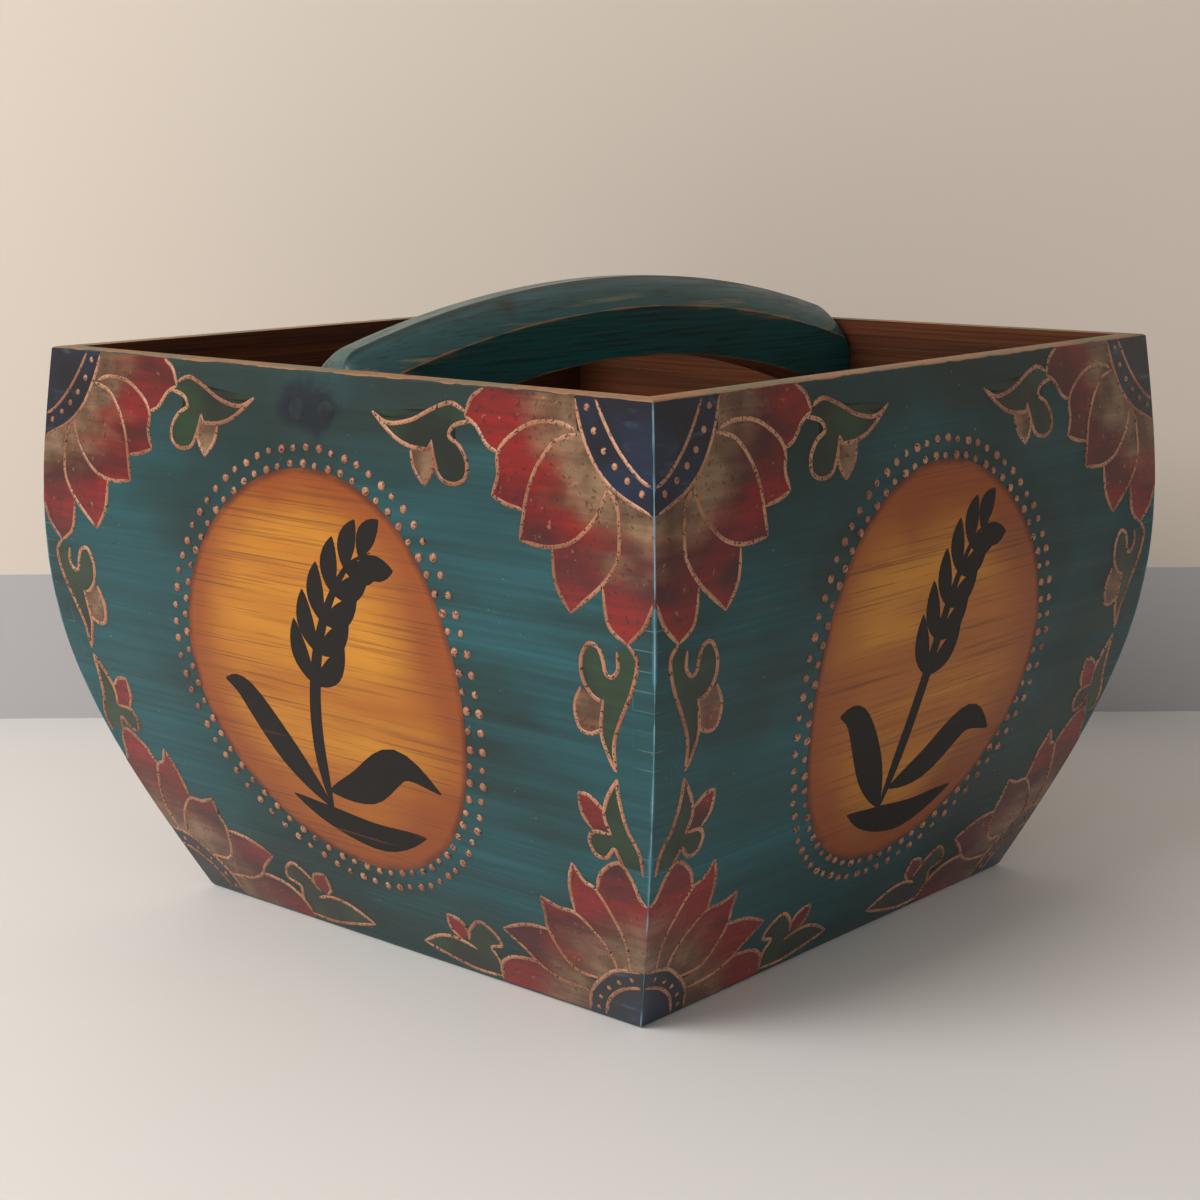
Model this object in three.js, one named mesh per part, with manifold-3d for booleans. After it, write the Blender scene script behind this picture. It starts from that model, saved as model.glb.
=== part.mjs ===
// Grain measure: a square, bowl-sided wooden measure with an arched carrying handle.
//
// Four boards, each bent to one curve from foot to rim, lock together in finger joints at the
// corners. The bottom board has bevelled edges and wedges into the taper of the walls. The
// handle is an arch between the front and back walls, held by two screws at each end, and each
// screw head is hidden by a wooden plug that is trimmed flush with the wall.
//
// Lengths are in millimetres and angles in degrees, and +Z is up. The origin is the centre of
// the underside. The handle runs along Y, from the front wall (-Y) to the back wall (+Y).
import Module from "manifold-3d";
import * as THREE from "three";
import { mergeVertices } from "three/addons/utils/BufferGeometryUtils.js";

// Box
const RIM_WIDTH = 330;
const BASE_WIDTH = 249;
const HEIGHT = 238;
const WALL = 9.5;
const BASE_FLARE = 25;
const RIM_LEAN = 6.3;
const LOWER_PULL = 105;
const UPPER_PULL = 95;
const PROFILE_STEPS = 24;
const BOTTOM_THICKNESS = 10;

// Finger joints, counted down from the rim
const FINGER_PITCH = 7;
const TOP_FINGER = 4.5;
const JOINT_GAP = 0.3;

// Handle
const HANDLE_WIDTH = 31;
const HANDLE_FOOT_WIDTH = 27;
const TOP_FLAT = 8;
const ARRIS_DROP = 12.4;
const CREST = 26.7;
const GRIP_DEPTH = 33.3;
const TOP_RADIUS = 545;
const UNDER_RADIUS = 445;
const SHOULDER = 8;
const SEAT_GAP = 0.3;

// Handle screws and their plugs
const SCREW_SPACING = 16;
const SCREW_DROP = 15;
const SCREW_LENGTH = 32;
const SHANK_RADIUS = 2;
const HEAD_RADIUS = 3.9;
const HEAD_DEPTH = 2;
const POINT_LENGTH = 5;
const PLUG_RADIUS = 4.2;
const PLUG_DEPTH = 3.5;
const FIT_GAP = 0.3;
const ROUND_STEPS = 20;

// Finishes
const PAINT = { color: 0x1f4f57, roughness: 0.45, metalness: 0 };
const HANDLE_PAINT = { color: 0x2a5b5e, roughness: 0.5, metalness: 0 };
const STAIN = { color: 0x4a2a17, roughness: 0.6, metalness: 0 };
const STEEL = { color: 0x8c8c88, roughness: 0.4, metalness: 1 };
const FILLER = { color: 0x24363a, roughness: 0.6, metalness: 0 };

const wasm = await Module();
wasm.setup();

// The outer face of a wall in section: x is the way out from the centre and y is the height
const radians = THREE.MathUtils.degToRad;
const REACH = Math.max(RIM_WIDTH, BASE_WIDTH);
const OUTER = new THREE.CubicBezierCurve(
  new THREE.Vector2(BASE_WIDTH / 2, 0),
  new THREE.Vector2(BASE_WIDTH / 2 + LOWER_PULL * Math.tan(radians(BASE_FLARE)), LOWER_PULL),
  new THREE.Vector2(
    RIM_WIDTH / 2 + UPPER_PULL * Math.tan(radians(RIM_LEAN)),
    HEIGHT - UPPER_PULL,
  ),
  new THREE.Vector2(RIM_WIDTH / 2, HEIGHT),
);

/** A closed geometry as a solid that can be joined and cut. */
function toSolid(geometry) {
  geometry.deleteAttribute("normal");
  geometry.deleteAttribute("uv");
  const merged = mergeVertices(geometry, 1e-4);
  const mesh = new wasm.Mesh({
    numProp: 3,
    vertProperties: new Float32Array(merged.attributes.position.array),
    triVerts: new Uint32Array(merged.index.array),
  });
  return new wasm.Manifold(mesh);
}

/** A finished solid as a named mesh. */
function toMesh(name, solid, finish) {
  const { vertProperties, triVerts } = solid.getMesh();
  const geometry = new THREE.BufferGeometry();
  geometry.setAttribute("position", new THREE.BufferAttribute(vertProperties, 3));
  geometry.setIndex(new THREE.BufferAttribute(triVerts, 1));
  geometry.computeVertexNormals();
  const mesh = new THREE.Mesh(geometry, new THREE.MeshStandardMaterial(finish));
  mesh.name = name;
  return mesh;
}

/** The wall's section line set in by inset, run on straight past the foot and the rim. */
function wallLine(inset) {
  const line = [];
  for (let i = 0; i <= PROFILE_STEPS; i += 1) {
    const tangent = OUTER.getTangent(i / PROFILE_STEPS);
    const point = OUTER.getPoint(i / PROFILE_STEPS);
    point.x -= inset * tangent.y;
    point.y += inset * tangent.x;
    line.push(point);
  }
  const overrun = 2 * WALL;
  line.unshift(line[0].clone().addScaledVector(OUTER.getTangent(0), -overrun));
  line.push(line.at(-1).clone().addScaledVector(OUTER.getTangent(1), overrun));
  return line;
}

/** How far out the section line stands at a height. */
function outwardAt(height, inset) {
  const line = wallLine(inset);
  const above = line.findIndex((point, i) => i > 0 && point.y >= height);
  const low = line[above - 1];
  const high = line[above];
  return low.x + ((height - low.y) / (high.y - low.y)) * (high.x - low.x);
}

/** A section drawn outwards and up, extruded along its wall and turned by quarter turns from +X. */
function alongWall(points, quarter) {
  const geometry = new THREE.ExtrudeGeometry(new THREE.Shape(points), {
    depth: 2 * REACH,
    steps: 1,
    bevelEnabled: false,
  });
  geometry.translate(0, 0, -REACH);
  geometry.rotateX(Math.PI / 2);
  geometry.rotateZ((quarter * Math.PI) / 2);
  return toSolid(geometry);
}

/** The sheet of one wall between two insets, longer than the wall. */
function sheet(quarter, from, to) {
  return alongWall([...wallLine(from), ...wallLine(to).reverse()], quarter);
}

/** The space between two opposite walls' section lines. */
function between(quarter, inset) {
  const line = wallLine(inset);
  const mirrored = line.map((point) => new THREE.Vector2(-point.x, point.y)).reverse();
  return alongWall([...line, ...mirrored], quarter);
}

/** The layer between two heights. */
function layer(low, high) {
  const geometry = new THREE.BoxGeometry(2 * REACH, 2 * REACH, high - low);
  geometry.translate(0, 0, (low + high) / 2);
  return toSolid(geometry);
}

/** The heights of the fingers, from the rim down, as pairs of top and bottom. */
function fingerBands() {
  const bands = [[HEIGHT, HEIGHT - TOP_FINGER]];
  while (bands.at(-1)[1] > 0) {
    const top = bands.at(-1)[1];
    bands.push([top, Math.max(0, top - FINGER_PITCH)]);
  }
  return bands;
}

/** One wall: its bent board, with every other finger at both ends cut away. */
function wall(quarter, firstFinger) {
  const board = sheet(quarter, 0, WALL).intersect(between(quarter + 1, 0)).intersect(layer(0, HEIGHT));
  const neighbours = sheet(quarter + 1, -WALL, WALL + JOINT_GAP).add(
    sheet(quarter - 1, -WALL, WALL + JOINT_GAP),
  );
  return fingerBands().reduce((cut, [top, bottom], i) => {
    if (i % 2 === firstFinger) {
      return cut;
    }
    const notch = layer(bottom - JOINT_GAP / 2, top + JOINT_GAP / 2).intersect(neighbours);
    return cut.subtract(notch);
  }, board);
}

/** The bottom board, its edges bevelled to the walls that it wedges between. */
function bottomBoard() {
  const inset = WALL + SEAT_GAP;
  return between(0, inset).intersect(between(1, inset)).intersect(layer(0, BOTTOM_THICKNESS));
}

/** The grip's section revolved about the centre of the handle's top arc, as a full ring. */
function gripRing() {
  const half = HANDLE_WIDTH / 2;
  const bevel = new THREE.QuadraticBezierCurve(
    new THREE.Vector2(TOP_RADIUS - ARRIS_DROP, half),
    new THREE.Vector2(TOP_RADIUS - ARRIS_DROP * 0.35, half * 0.78),
    new THREE.Vector2(TOP_RADIUS, TOP_FLAT / 2),
  ).getPoints(4);
  const deep = TOP_RADIUS - 2 * GRIP_DEPTH;
  const foot = HANDLE_FOOT_WIDTH / 2 - (half - HANDLE_FOOT_WIDTH / 2);
  const upper = [new THREE.Vector2(deep, foot), ...bevel].reverse();
  const lower = upper.map((point) => new THREE.Vector2(point.x, -point.y)).reverse();
  const section = [...lower, ...upper];
  const steps = Math.round((2 * Math.PI * TOP_RADIUS) / 16);
  const geometry = new THREE.LatheGeometry([...section, section[0].clone()], steps);
  geometry.rotateZ(-Math.PI / 2);
  geometry.translate(0, 0, HEIGHT + CREST - TOP_RADIUS);
  return toSolid(geometry);
}

/** The side view of the handle, wide of the arcs, with its rounded shoulders at the walls. */
function handleSideView() {
  const reach = outwardAt(HEIGHT, WALL) - SEAT_GAP;
  const arcTop = (y) => CREST - TOP_RADIUS + Math.sqrt(TOP_RADIUS ** 2 - y ** 2);
  const start = reach - SHOULDER;
  const shape = new THREE.Shape();
  shape.moveTo(reach + WALL, -2 * GRIP_DEPTH);
  shape.lineTo(reach + WALL, -WALL);
  shape.lineTo(reach, 0);
  shape.lineTo(reach, arcTop(reach) - SHOULDER / 2);
  shape.quadraticCurveTo(reach, arcTop(reach), start, arcTop(start));
  shape.lineTo(start, 2 * CREST);
  shape.lineTo(-start, 2 * CREST);
  shape.lineTo(-start, arcTop(start));
  shape.quadraticCurveTo(-reach, arcTop(reach), -reach, arcTop(reach) - SHOULDER / 2);
  shape.lineTo(-reach, 0);
  shape.lineTo(-reach - WALL, -WALL);
  shape.lineTo(-reach - WALL, -2 * GRIP_DEPTH);
  const geometry = new THREE.ExtrudeGeometry(shape, {
    depth: 2 * HANDLE_WIDTH,
    curveSegments: 6,
    bevelEnabled: false,
  });
  geometry.translate(0, 0, -HANDLE_WIDTH);
  geometry.rotateY(Math.PI / 2);
  geometry.rotateX(Math.PI / 2);
  geometry.translate(0, 0, HEIGHT);
  return toSolid(geometry);
}

/** The round space under the grip, where the fingers go. */
function underGrip() {
  const steps = Math.round((2 * Math.PI * UNDER_RADIUS) / 16);
  const geometry = new THREE.CylinderGeometry(UNDER_RADIUS, UNDER_RADIUS, 3 * HANDLE_WIDTH, steps);
  geometry.rotateZ(Math.PI / 2);
  geometry.translate(0, 0, HEIGHT + CREST - GRIP_DEPTH - UNDER_RADIUS);
  return toSolid(geometry);
}

/** The arched handle, its ends shaped to the walls' inner faces. */
function handle(bores) {
  const seats = sheet(1, -2 * WALL, WALL + SEAT_GAP).add(sheet(-1, -2 * WALL, WALL + SEAT_GAP));
  const arch = gripRing().intersect(handleSideView()).subtract(underGrip());
  const seated = arch.subtract(seats.intersect(layer(0, HEIGHT)));
  return bores.reduce((cut, bore) => cut.subtract(bore), seated);
}

/** Where each screw sits: its side of the handle and its end of it. */
function screwPlaces() {
  const places = [];
  for (const [end, turn] of [["front", Math.PI], ["back", 0]]) {
    for (const [side, across] of [["left", -1], ["right", 1]]) {
      places.push({ name: `${end}_${side}`, turn, across });
    }
  }
  return places;
}

/** A shape turned about a screw's line, given as radius and distance out from under the head. */
function onScrewLine(profile, { turn, across }) {
  const points = profile.map(([radius, out]) => new THREE.Vector2(radius, out));
  const geometry = new THREE.LatheGeometry(points, ROUND_STEPS);
  const height = HEIGHT - SCREW_DROP;
  geometry.translate(0, outwardAt(height, PLUG_DEPTH), 0);
  geometry.rotateZ(turn);
  geometry.translate((across * SCREW_SPACING) / 2, 0, height);
  return toSolid(geometry);
}

/** A countersunk wood screw, its head down on the floor of the plug's hole. */
function screw(place) {
  const profile = [
    [0, -SCREW_LENGTH],
    [SHANK_RADIUS, POINT_LENGTH - SCREW_LENGTH],
    [SHANK_RADIUS, -HEAD_DEPTH],
    [HEAD_RADIUS, 0],
    [0, 0],
  ];
  return onScrewLine(profile, place);
}

/** The hole for a screw and the plug over it, open to the outside. */
function screwBore(place) {
  const profile = [
    [0, -SCREW_LENGTH - FIT_GAP],
    [SHANK_RADIUS + FIT_GAP, POINT_LENGTH - SCREW_LENGTH],
    [SHANK_RADIUS + FIT_GAP, -HEAD_DEPTH - FIT_GAP],
    [HEAD_RADIUS + FIT_GAP, -FIT_GAP],
    [PLUG_RADIUS + FIT_GAP, -FIT_GAP],
    [PLUG_RADIUS + FIT_GAP, WALL],
    [0, WALL],
  ];
  return onScrewLine(profile, place);
}

/** A wooden plug over a screw head, trimmed flush with the wall. */
function plug(place) {
  const profile = [
    [0, FIT_GAP],
    [PLUG_RADIUS, FIT_GAP],
    [PLUG_RADIUS, WALL],
    [0, WALL],
  ];
  return onScrewLine(profile, place).intersect(between(1, 0));
}

/** The whole measure. */
function grainMeasure() {
  const measure = new THREE.Group();
  const places = screwPlaces();
  const bores = places.map(screwBore);
  const bored = (board) => bores.reduce((cut, bore) => cut.subtract(bore), board);
  measure.add(toMesh("front_wall", bored(wall(-1, 1)), PAINT));
  measure.add(toMesh("back_wall", bored(wall(1, 1)), PAINT));
  measure.add(toMesh("left_wall", wall(2, 0), PAINT));
  measure.add(toMesh("right_wall", wall(0, 0), PAINT));
  measure.add(toMesh("bottom_board", bottomBoard(), STAIN));
  measure.add(toMesh("handle", handle(bores), HANDLE_PAINT));
  for (const place of places) {
    measure.add(toMesh(`handle_screw_${place.name}`, screw(place), STEEL));
    measure.add(toMesh(`screw_plug_${place.name}`, plug(place), FILLER));
  }
  return measure;
}

export default grainMeasure();
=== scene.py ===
"""The looks of a painted grain measure: curved boards, piped ornament, enamel, gilt ovals and wear.

Lengths are in metres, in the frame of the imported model: +Z up, the origin under the foot, the
handle along Y. A place on a wall is given as its distance in from the nearest corner and its
height, both in millimetres, because the ornament is the same round every corner.
"""

import logging
import math
from bisect import bisect_left
from dataclasses import dataclass, field
from enum import Enum
from functools import lru_cache

import bmesh
import bpy
from mathutils import Matrix, Vector


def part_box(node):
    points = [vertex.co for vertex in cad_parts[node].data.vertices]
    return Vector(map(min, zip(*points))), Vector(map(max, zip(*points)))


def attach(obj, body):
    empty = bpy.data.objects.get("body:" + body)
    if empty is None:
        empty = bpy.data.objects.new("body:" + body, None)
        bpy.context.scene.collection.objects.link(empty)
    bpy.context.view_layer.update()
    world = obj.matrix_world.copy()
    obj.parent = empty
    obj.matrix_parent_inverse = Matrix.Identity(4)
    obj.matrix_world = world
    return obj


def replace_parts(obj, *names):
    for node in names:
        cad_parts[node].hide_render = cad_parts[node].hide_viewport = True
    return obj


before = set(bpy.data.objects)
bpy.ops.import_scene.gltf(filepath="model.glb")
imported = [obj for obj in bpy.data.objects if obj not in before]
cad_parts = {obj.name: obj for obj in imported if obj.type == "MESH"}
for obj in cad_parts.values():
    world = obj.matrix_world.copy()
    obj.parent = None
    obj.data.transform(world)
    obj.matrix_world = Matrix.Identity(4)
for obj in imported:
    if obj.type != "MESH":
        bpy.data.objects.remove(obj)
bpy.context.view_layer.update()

log = logging.getLogger("grain_measure")
MM = 0.001
BODY = "root"
PANEL_MAP = "panel"
Point = tuple[float, float]
Path = list[Point]


class Wall(Enum):
    """A wall, by its quarter turns from +X."""

    RIGHT = 0
    BACK = 1
    LEFT = 2
    FRONT = 3


class Half(Enum):
    """The half of a wall that an ornament is on, as the sign of its place along the wall."""

    LOW = -1
    HIGH = 1
    MIDDLE = 0


class Coat(Enum):
    """The layers of the painted surface, as a height over the board's face in metres."""

    GILT = 0.08 * MM
    ENAMEL = 0.14 * MM
    INK = 0.115 * MM
    HEART = 0.2 * MM


def smooth(points: Path, steps: int = 6) -> Path:
    """Draws a curve through points.

    Args:
        points: The places that the curve passes through.
        steps: The stretches between two of them.

    Returns:
        The points of the curve.
    """
    if len(points) < 3:
        return list(points)
    ends = [points[0], *points, points[-1]]
    line: Path = []
    for i in range(1, len(ends) - 2):
        p, q, r, s = ends[i - 1 : i + 3]
        for k in range(steps):
            t = k / steps
            weights = (
                (2 * t * t - t - t**3) / 2,
                (2 - 5 * t * t + 3 * t**3) / 2,
                (t + 4 * t * t - 3 * t**3) / 2,
                (t**3 - t * t) / 2,
            )
            line.append(tuple(sum(w * v for w, v in zip(weights, values)) for values in zip(p, q, r, s)))
    line.append(points[-1])
    return line


def outline(*stretches: Path) -> Path:
    """Joins curved stretches into one closed outline, sharp where two stretches meet.

    Args:
        stretches: The stretches in order round the shape.

    Returns:
        The outline's points, each once.
    """
    closed: Path = []
    for stretch in stretches:
        for point in smooth(stretch):
            if not closed or math.dist(point, closed[-1]) > 0.15:
                closed.append(point)
    if math.dist(closed[0], closed[-1]) < 0.15:
        closed.pop()
    return closed


def brush_stroke(spine: Path, widest: float, head: float = 0.35) -> Path:
    """Draws one brush stroke round a spine, thin at both ends.

    Args:
        spine: The points that the brush passed.
        widest: The stroke's width at its fullest.
        head: Where along it the stroke is fullest, from 0 to 1.

    Returns:
        The stroke's closed outline.
    """
    line = smooth(spine, 5)
    left, right = [], []
    last = len(line) - 1
    for i, (x, y) in enumerate(line):
        ahead, behind = line[min(i + 1, last)], line[max(i - 1, 0)]
        dx, dy = ahead[0] - behind[0], ahead[1] - behind[1]
        length = math.hypot(dx, dy) or 1.0
        t = i / last
        rise = t / head if t < head else (1 - t) / (1 - head)
        half = widest / 2 * max(0.06, math.sin(rise * math.pi / 2))
        left.append((x - dy / length * half, y + dx / length * half))
        right.append((x + dy / length * half, y - dx / length * half))
    return left + right[::-1]


@dataclass(frozen=True)
class WallProfile:
    """The curve of a wall from foot to rim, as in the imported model.

    Attributes:
        foot: Half the width outside at the foot.
        rim: Half the width outside at the rim.
        height: The wall's height.
        thickness: The board's thickness, square to its curve.
        flare: The angle that the wall leans out at the foot.
        lean: The angle that it leans in at the rim.
        lower_pull: The reach of the curve's lower tangent.
        upper_pull: The reach of its upper tangent.
    """

    foot: float = 124.5 * MM
    rim: float = 165 * MM
    height: float = 238 * MM
    thickness: float = 9.5 * MM
    flare: float = math.radians(25)
    lean: float = math.radians(6.3)
    lower_pull: float = 105 * MM
    upper_pull: float = 95 * MM

    @lru_cache(maxsize=None)
    def line(self, inset: float) -> tuple[list[float], list[float]]:
        """Draws the curve.

        Args:
            inset: How far inside the outer face it is set.

        Returns:
            The heights of its points, and their distances out.
        """
        controls = [
            Vector((self.foot, 0)),
            Vector((self.foot + self.lower_pull * math.tan(self.flare), self.lower_pull)),
            Vector((self.rim + self.upper_pull * math.tan(self.lean), self.height - self.upper_pull)),
            Vector((self.rim, self.height)),
        ]
        steps = 120
        places = []
        for i in range(steps + 1):
            t = i / steps
            s = 1 - t
            weights = (s**3, 3 * s * s * t, 3 * s * t * t, t**3)
            slopes = (-3 * s * s, 3 * s * s - 6 * s * t, 6 * s * t - 3 * t * t, 3 * t * t)
            point = sum((c * w for c, w in zip(controls, weights)), Vector((0, 0)))
            tangent = sum((c * w for c, w in zip(controls, slopes)), Vector((0, 0))).normalized()
            places.append((point + Vector((-tangent.y, tangent.x)) * inset, tangent))
        overrun = 2 * self.thickness
        first, last = places[0], places[-1]
        points = [first[0] - first[1] * overrun, *(p for p, _ in places), last[0] + last[1] * overrun]
        return [p.y for p in points], [p.x for p in points]

    def out(self, z: float, inset: float) -> float:
        """Finds how far out the curve stands.

        Args:
            z: The height.
            inset: How far inside the outer face the curve is set.

        Returns:
            The distance out from the measure's middle.
        """
        heights, outs = self.line(inset)
        i = min(max(bisect_left(heights, z), 1), len(heights) - 1)
        t = (z - heights[i - 1]) / (heights[i] - heights[i - 1])
        return outs[i - 1] + t * (outs[i] - outs[i - 1])

    def normal(self, z: float, inset: float) -> Vector:
        """Finds the outward normal.

        Args:
            z: The height.
            inset: How far inside the outer face the curve is set.

        Returns:
            The normal's part out and its part up.
        """
        step = 0.5 * MM
        run = self.out(z + step, inset) - self.out(z - step, inset)
        return Vector((2 * step, -run)).normalized()


@dataclass(frozen=True)
class WallFace:
    """The outer face of one wall, on which ornament is placed.

    Attributes:
        wall: Which wall it is.
        profile: The wall's curve.
        recess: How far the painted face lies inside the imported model's face, so that the raised
            outlines end flush with it.
    """

    wall: Wall
    profile: WallProfile = field(default_factory=WallProfile)
    recess: float = 0.6 * MM

    @property
    def outwards(self) -> Vector:
        """The level direction out of the wall."""
        turn = self.wall.value * math.pi / 2
        return Vector((round(math.cos(turn)), round(math.sin(turn)), 0))

    @property
    def along(self) -> Vector:
        """The level direction along the wall."""
        out = self.outwards
        return Vector((-out.y, out.x, 0))

    def at(self, along: float, z: float, lift: float = 0.0, inset: float | None = None) -> Vector:
        """Places a point on the wall.

        Args:
            along: Its place along the wall, from the middle.
            z: Its height.
            lift: Its height over the face.
            inset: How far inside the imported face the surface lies, the painted face if left out.

        Returns:
            The point.
        """
        inset = self.recess if inset is None else inset
        normal = self.profile.normal(z, inset)
        level = self.profile.out(z, inset) + lift * normal.x
        return self.outwards * level + self.along * along + Vector((0, 0, z + lift * normal.y))

    def spot(self, point: Point, half: Half, lift: float = 0.0) -> Vector:
        """Places a point of the ornament.

        Args:
            point: Its distance in from the corner, or from the middle, and its height, in millimetres.
            half: The half of the wall that it is on.
            lift: Its height over the painted face.

        Returns:
            The point in space.
        """
        across, z = point[0] * MM, min(max(point[1] * MM, 0.0), self.profile.height)
        if half is Half.MIDDLE:
            return self.at(across, z, lift)
        return self.at(half.value * (self.profile.out(z, self.recess) - across), z, lift)

    def basis(self, z: float) -> Matrix:
        """Finds the turn that stands a shape on the face.

        Args:
            z: The height.

        Returns:
            The turn, from the shape's Z to the face's normal.
        """
        normal = self.profile.normal(z, self.recess)
        up = (self.outwards * normal.x + Vector((0, 0, normal.y))).normalized()
        side = self.along
        return Matrix((side, up.cross(side), up)).transposed()


class Graph:
    """A node tree that is built up a node at a time."""

    def __init__(self, tree: bpy.types.NodeTree) -> None:
        """Keeps the tree."""
        self.tree = tree

    def feed(self, socket: bpy.types.NodeSocket, value: object) -> None:
        """Gives a socket its value.

        Args:
            socket: The socket.
            value: A socket to link it to, or a value to set.
        """
        if isinstance(value, bpy.types.NodeSocket):
            self.tree.links.new(value, socket)
        else:
            socket.default_value = value

    def add(self, kind: str, settings: dict | None = None, **inputs: object) -> bpy.types.Node:
        """Adds a node.

        Args:
            kind: The node's type, without the word ShaderNode.
            settings: Its properties.
            inputs: Its sockets by name, with spaces as underscores, or in0, in1 by number. A
                socket is linked and anything else is set.

        Returns:
            The node.
        """
        name = kind if kind.startswith("NodeGroup") else "ShaderNode" + kind
        node = self.tree.nodes.new(name)
        for key, value in (settings or {}).items():
            setattr(node, key, value)
        for key, value in inputs.items():
            numbered = key.startswith("in") and key[2:].isdigit()
            self.feed(node.inputs[int(key[2:]) if numbered else key.replace("_", " ")], value)
        return node

    def place(self) -> bpy.types.NodeSocket:
        """The object coordinates."""
        return self.add("TexCoord").outputs["Object"]

    def math(
        self, operation: str, a: object, b: object = 0.0, clamp: bool = False
    ) -> bpy.types.NodeSocket:
        """Adds a sum of two values and returns its result."""
        return self.add("Math", {"operation": operation, "use_clamp": clamp}, in0=a, in1=b).outputs[0]

    def times(self, a: object, b: object) -> bpy.types.NodeSocket:
        """The product of two values."""
        return self.math("MULTIPLY", a, b)

    def plus(self, a: object, b: object) -> bpy.types.NodeSocket:
        """The sum of two values."""
        return self.math("ADD", a, b)

    def minus(self, a: object, b: object) -> bpy.types.NodeSocket:
        """The difference of two values."""
        return self.math("SUBTRACT", a, b)

    def distance(self, a: object, b: object) -> bpy.types.NodeSocket:
        """The length of the diagonal over two sides."""
        return self.math("SQRT", self.plus(self.times(a, a), self.times(b, b)))

    def mix(self, factor: object, a: object, b: object) -> bpy.types.NodeSocket:
        """Mixes two colours.

        Args:
            factor: The share of the second, a socket or a value.
            a: The first colour.
            b: The second colour.

        Returns:
            The mixed colour.
        """
        node = self.add("Mix", {"data_type": "RGBA"})
        for index, value in ((0, factor), (6, a), (7, b)):
            self.feed(node.inputs[index], value)
        return node.outputs[2]

    def range(
        self, value: object, low: float, high: float, to_low: float = 0.0, to_high: float = 1.0
    ) -> bpy.types.NodeSocket:
        """Maps a stretch of a value smoothly to another.

        Args:
            value: The value.
            low: Where the stretch begins.
            high: Where it ends.
            to_low: The result at its beginning.
            to_high: The result at its end.

        Returns:
            The result.
        """
        node = self.add(
            "MapRange", {"interpolation_type": "SMOOTHSTEP"}, Value=value, From_Min=low, From_Max=high
        )
        node.inputs["To Min"].default_value = to_low
        node.inputs["To Max"].default_value = to_high
        return node.outputs["Result"]

    def noise(
        self, vector: object, scale: float, detail: float = 3.0, stretch: tuple = (1, 1, 1)
    ) -> bpy.types.NodeSocket:
        """Adds noise, stretched by a scale on each axis, and returns its value."""
        mapped = self.add("Mapping", None, Vector=vector, Scale=stretch).outputs[0]
        return self.add("TexNoise", None, Vector=mapped, Scale=scale, Detail=detail).outputs["Fac"]

    def group(self, tree: bpy.types.NodeTree, **inputs: object) -> bpy.types.Node:
        """Adds a node group.

        Args:
            tree: The group.
            inputs: Its sockets by name, with spaces as underscores.

        Returns:
            The node.
        """
        node = self.add("Group")
        node.node_tree = tree
        for key, value in inputs.items():
            self.feed(node.inputs[key.replace("_", " ")], value)
        return node


def rgb(red: int, green: int, blue: int) -> tuple[float, float, float, float]:
    """A colour seen as these 0 to 255 values, as a linear colour."""
    parts = (red / 255, green / 255, blue / 255)
    return (*(c / 12.92 if c <= 0.04045 else ((c + 0.055) / 1.055) ** 2.4 for c in parts), 1.0)


def new_group(
    name: str, inputs: dict[str, str], outputs: dict[str, str]
) -> tuple[bpy.types.NodeTree, Graph, bpy.types.Node, bpy.types.Node]:
    """Starts a shader node group.

    Args:
        name: The group's name.
        inputs: Its inputs and their kinds, such as Float, Vector or Color.
        outputs: Its outputs and their kinds.

    Returns:
        The group, its graph, and its input and output nodes.
    """
    tree = bpy.data.node_groups.new(name, "ShaderNodeTree")
    for side, sockets in (("INPUT", inputs), ("OUTPUT", outputs)):
        for label, kind in sockets.items():
            tree.interface.new_socket(name=label, in_out=side, socket_type="NodeSocket" + kind)
    graph = Graph(tree)
    return tree, graph, tree.nodes.new("NodeGroupInput"), tree.nodes.new("NodeGroupOutput")


@lru_cache(maxsize=None)
def brushed_grain() -> bpy.types.NodeTree:
    """Makes the level streaks of wood grain and of a brush drawn along it.

    Returns:
        The node group.
    """
    tree, g, given, made = new_group(
        "brushed_grain", {"Vector": "Vector"}, {"Streaks": "Float", "Fine": "Float"}
    )
    streaks = g.noise(given.outputs["Vector"], 9.0, 5.0, (0.5, 0.5, 9.0))
    fine = g.noise(given.outputs["Vector"], 60.0, 4.0, (0.16, 0.16, 9.0))
    tree.links.new(g.range(streaks, 0.3, 0.7), made.inputs["Streaks"])
    tree.links.new(g.range(fine, 0.35, 0.65), made.inputs["Fine"])
    return tree


@lru_cache(maxsize=None)
def edge_wear_and_sheen() -> bpy.types.NodeTree:
    """Marks ragged bands along an edge, by the distance to the edge: rubbed paint, and the painted
    highlight along the walls' corners.

    Returns:
        The node group.
    """
    tree, g, given, made = new_group(
        "edge_wear_and_sheen", {"Vector": "Vector", "Distance": "Float", "Width": "Float"},
        {"Bare": "Float", "Thin_and_sheen": "Float"},
    )
    ragged = g.range(g.noise(given.outputs["Vector"], 70.0, 5.0), 0.25, 0.75, 0.1, 1.9)
    reach = g.times(ragged, given.outputs["Width"])
    share = g.math("DIVIDE", given.outputs["Distance"], reach)
    # The inner band: bare wood at the rims and on the handle, and on the walls' corners a painted
    # highlight, partly paint rubbed off.
    tree.links.new(g.range(share, 1.15, 0.85), made.inputs["Bare"])
    tree.links.new(g.range(share, 5.0, 1.0), made.inputs["Thin_and_sheen"])
    return tree


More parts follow.
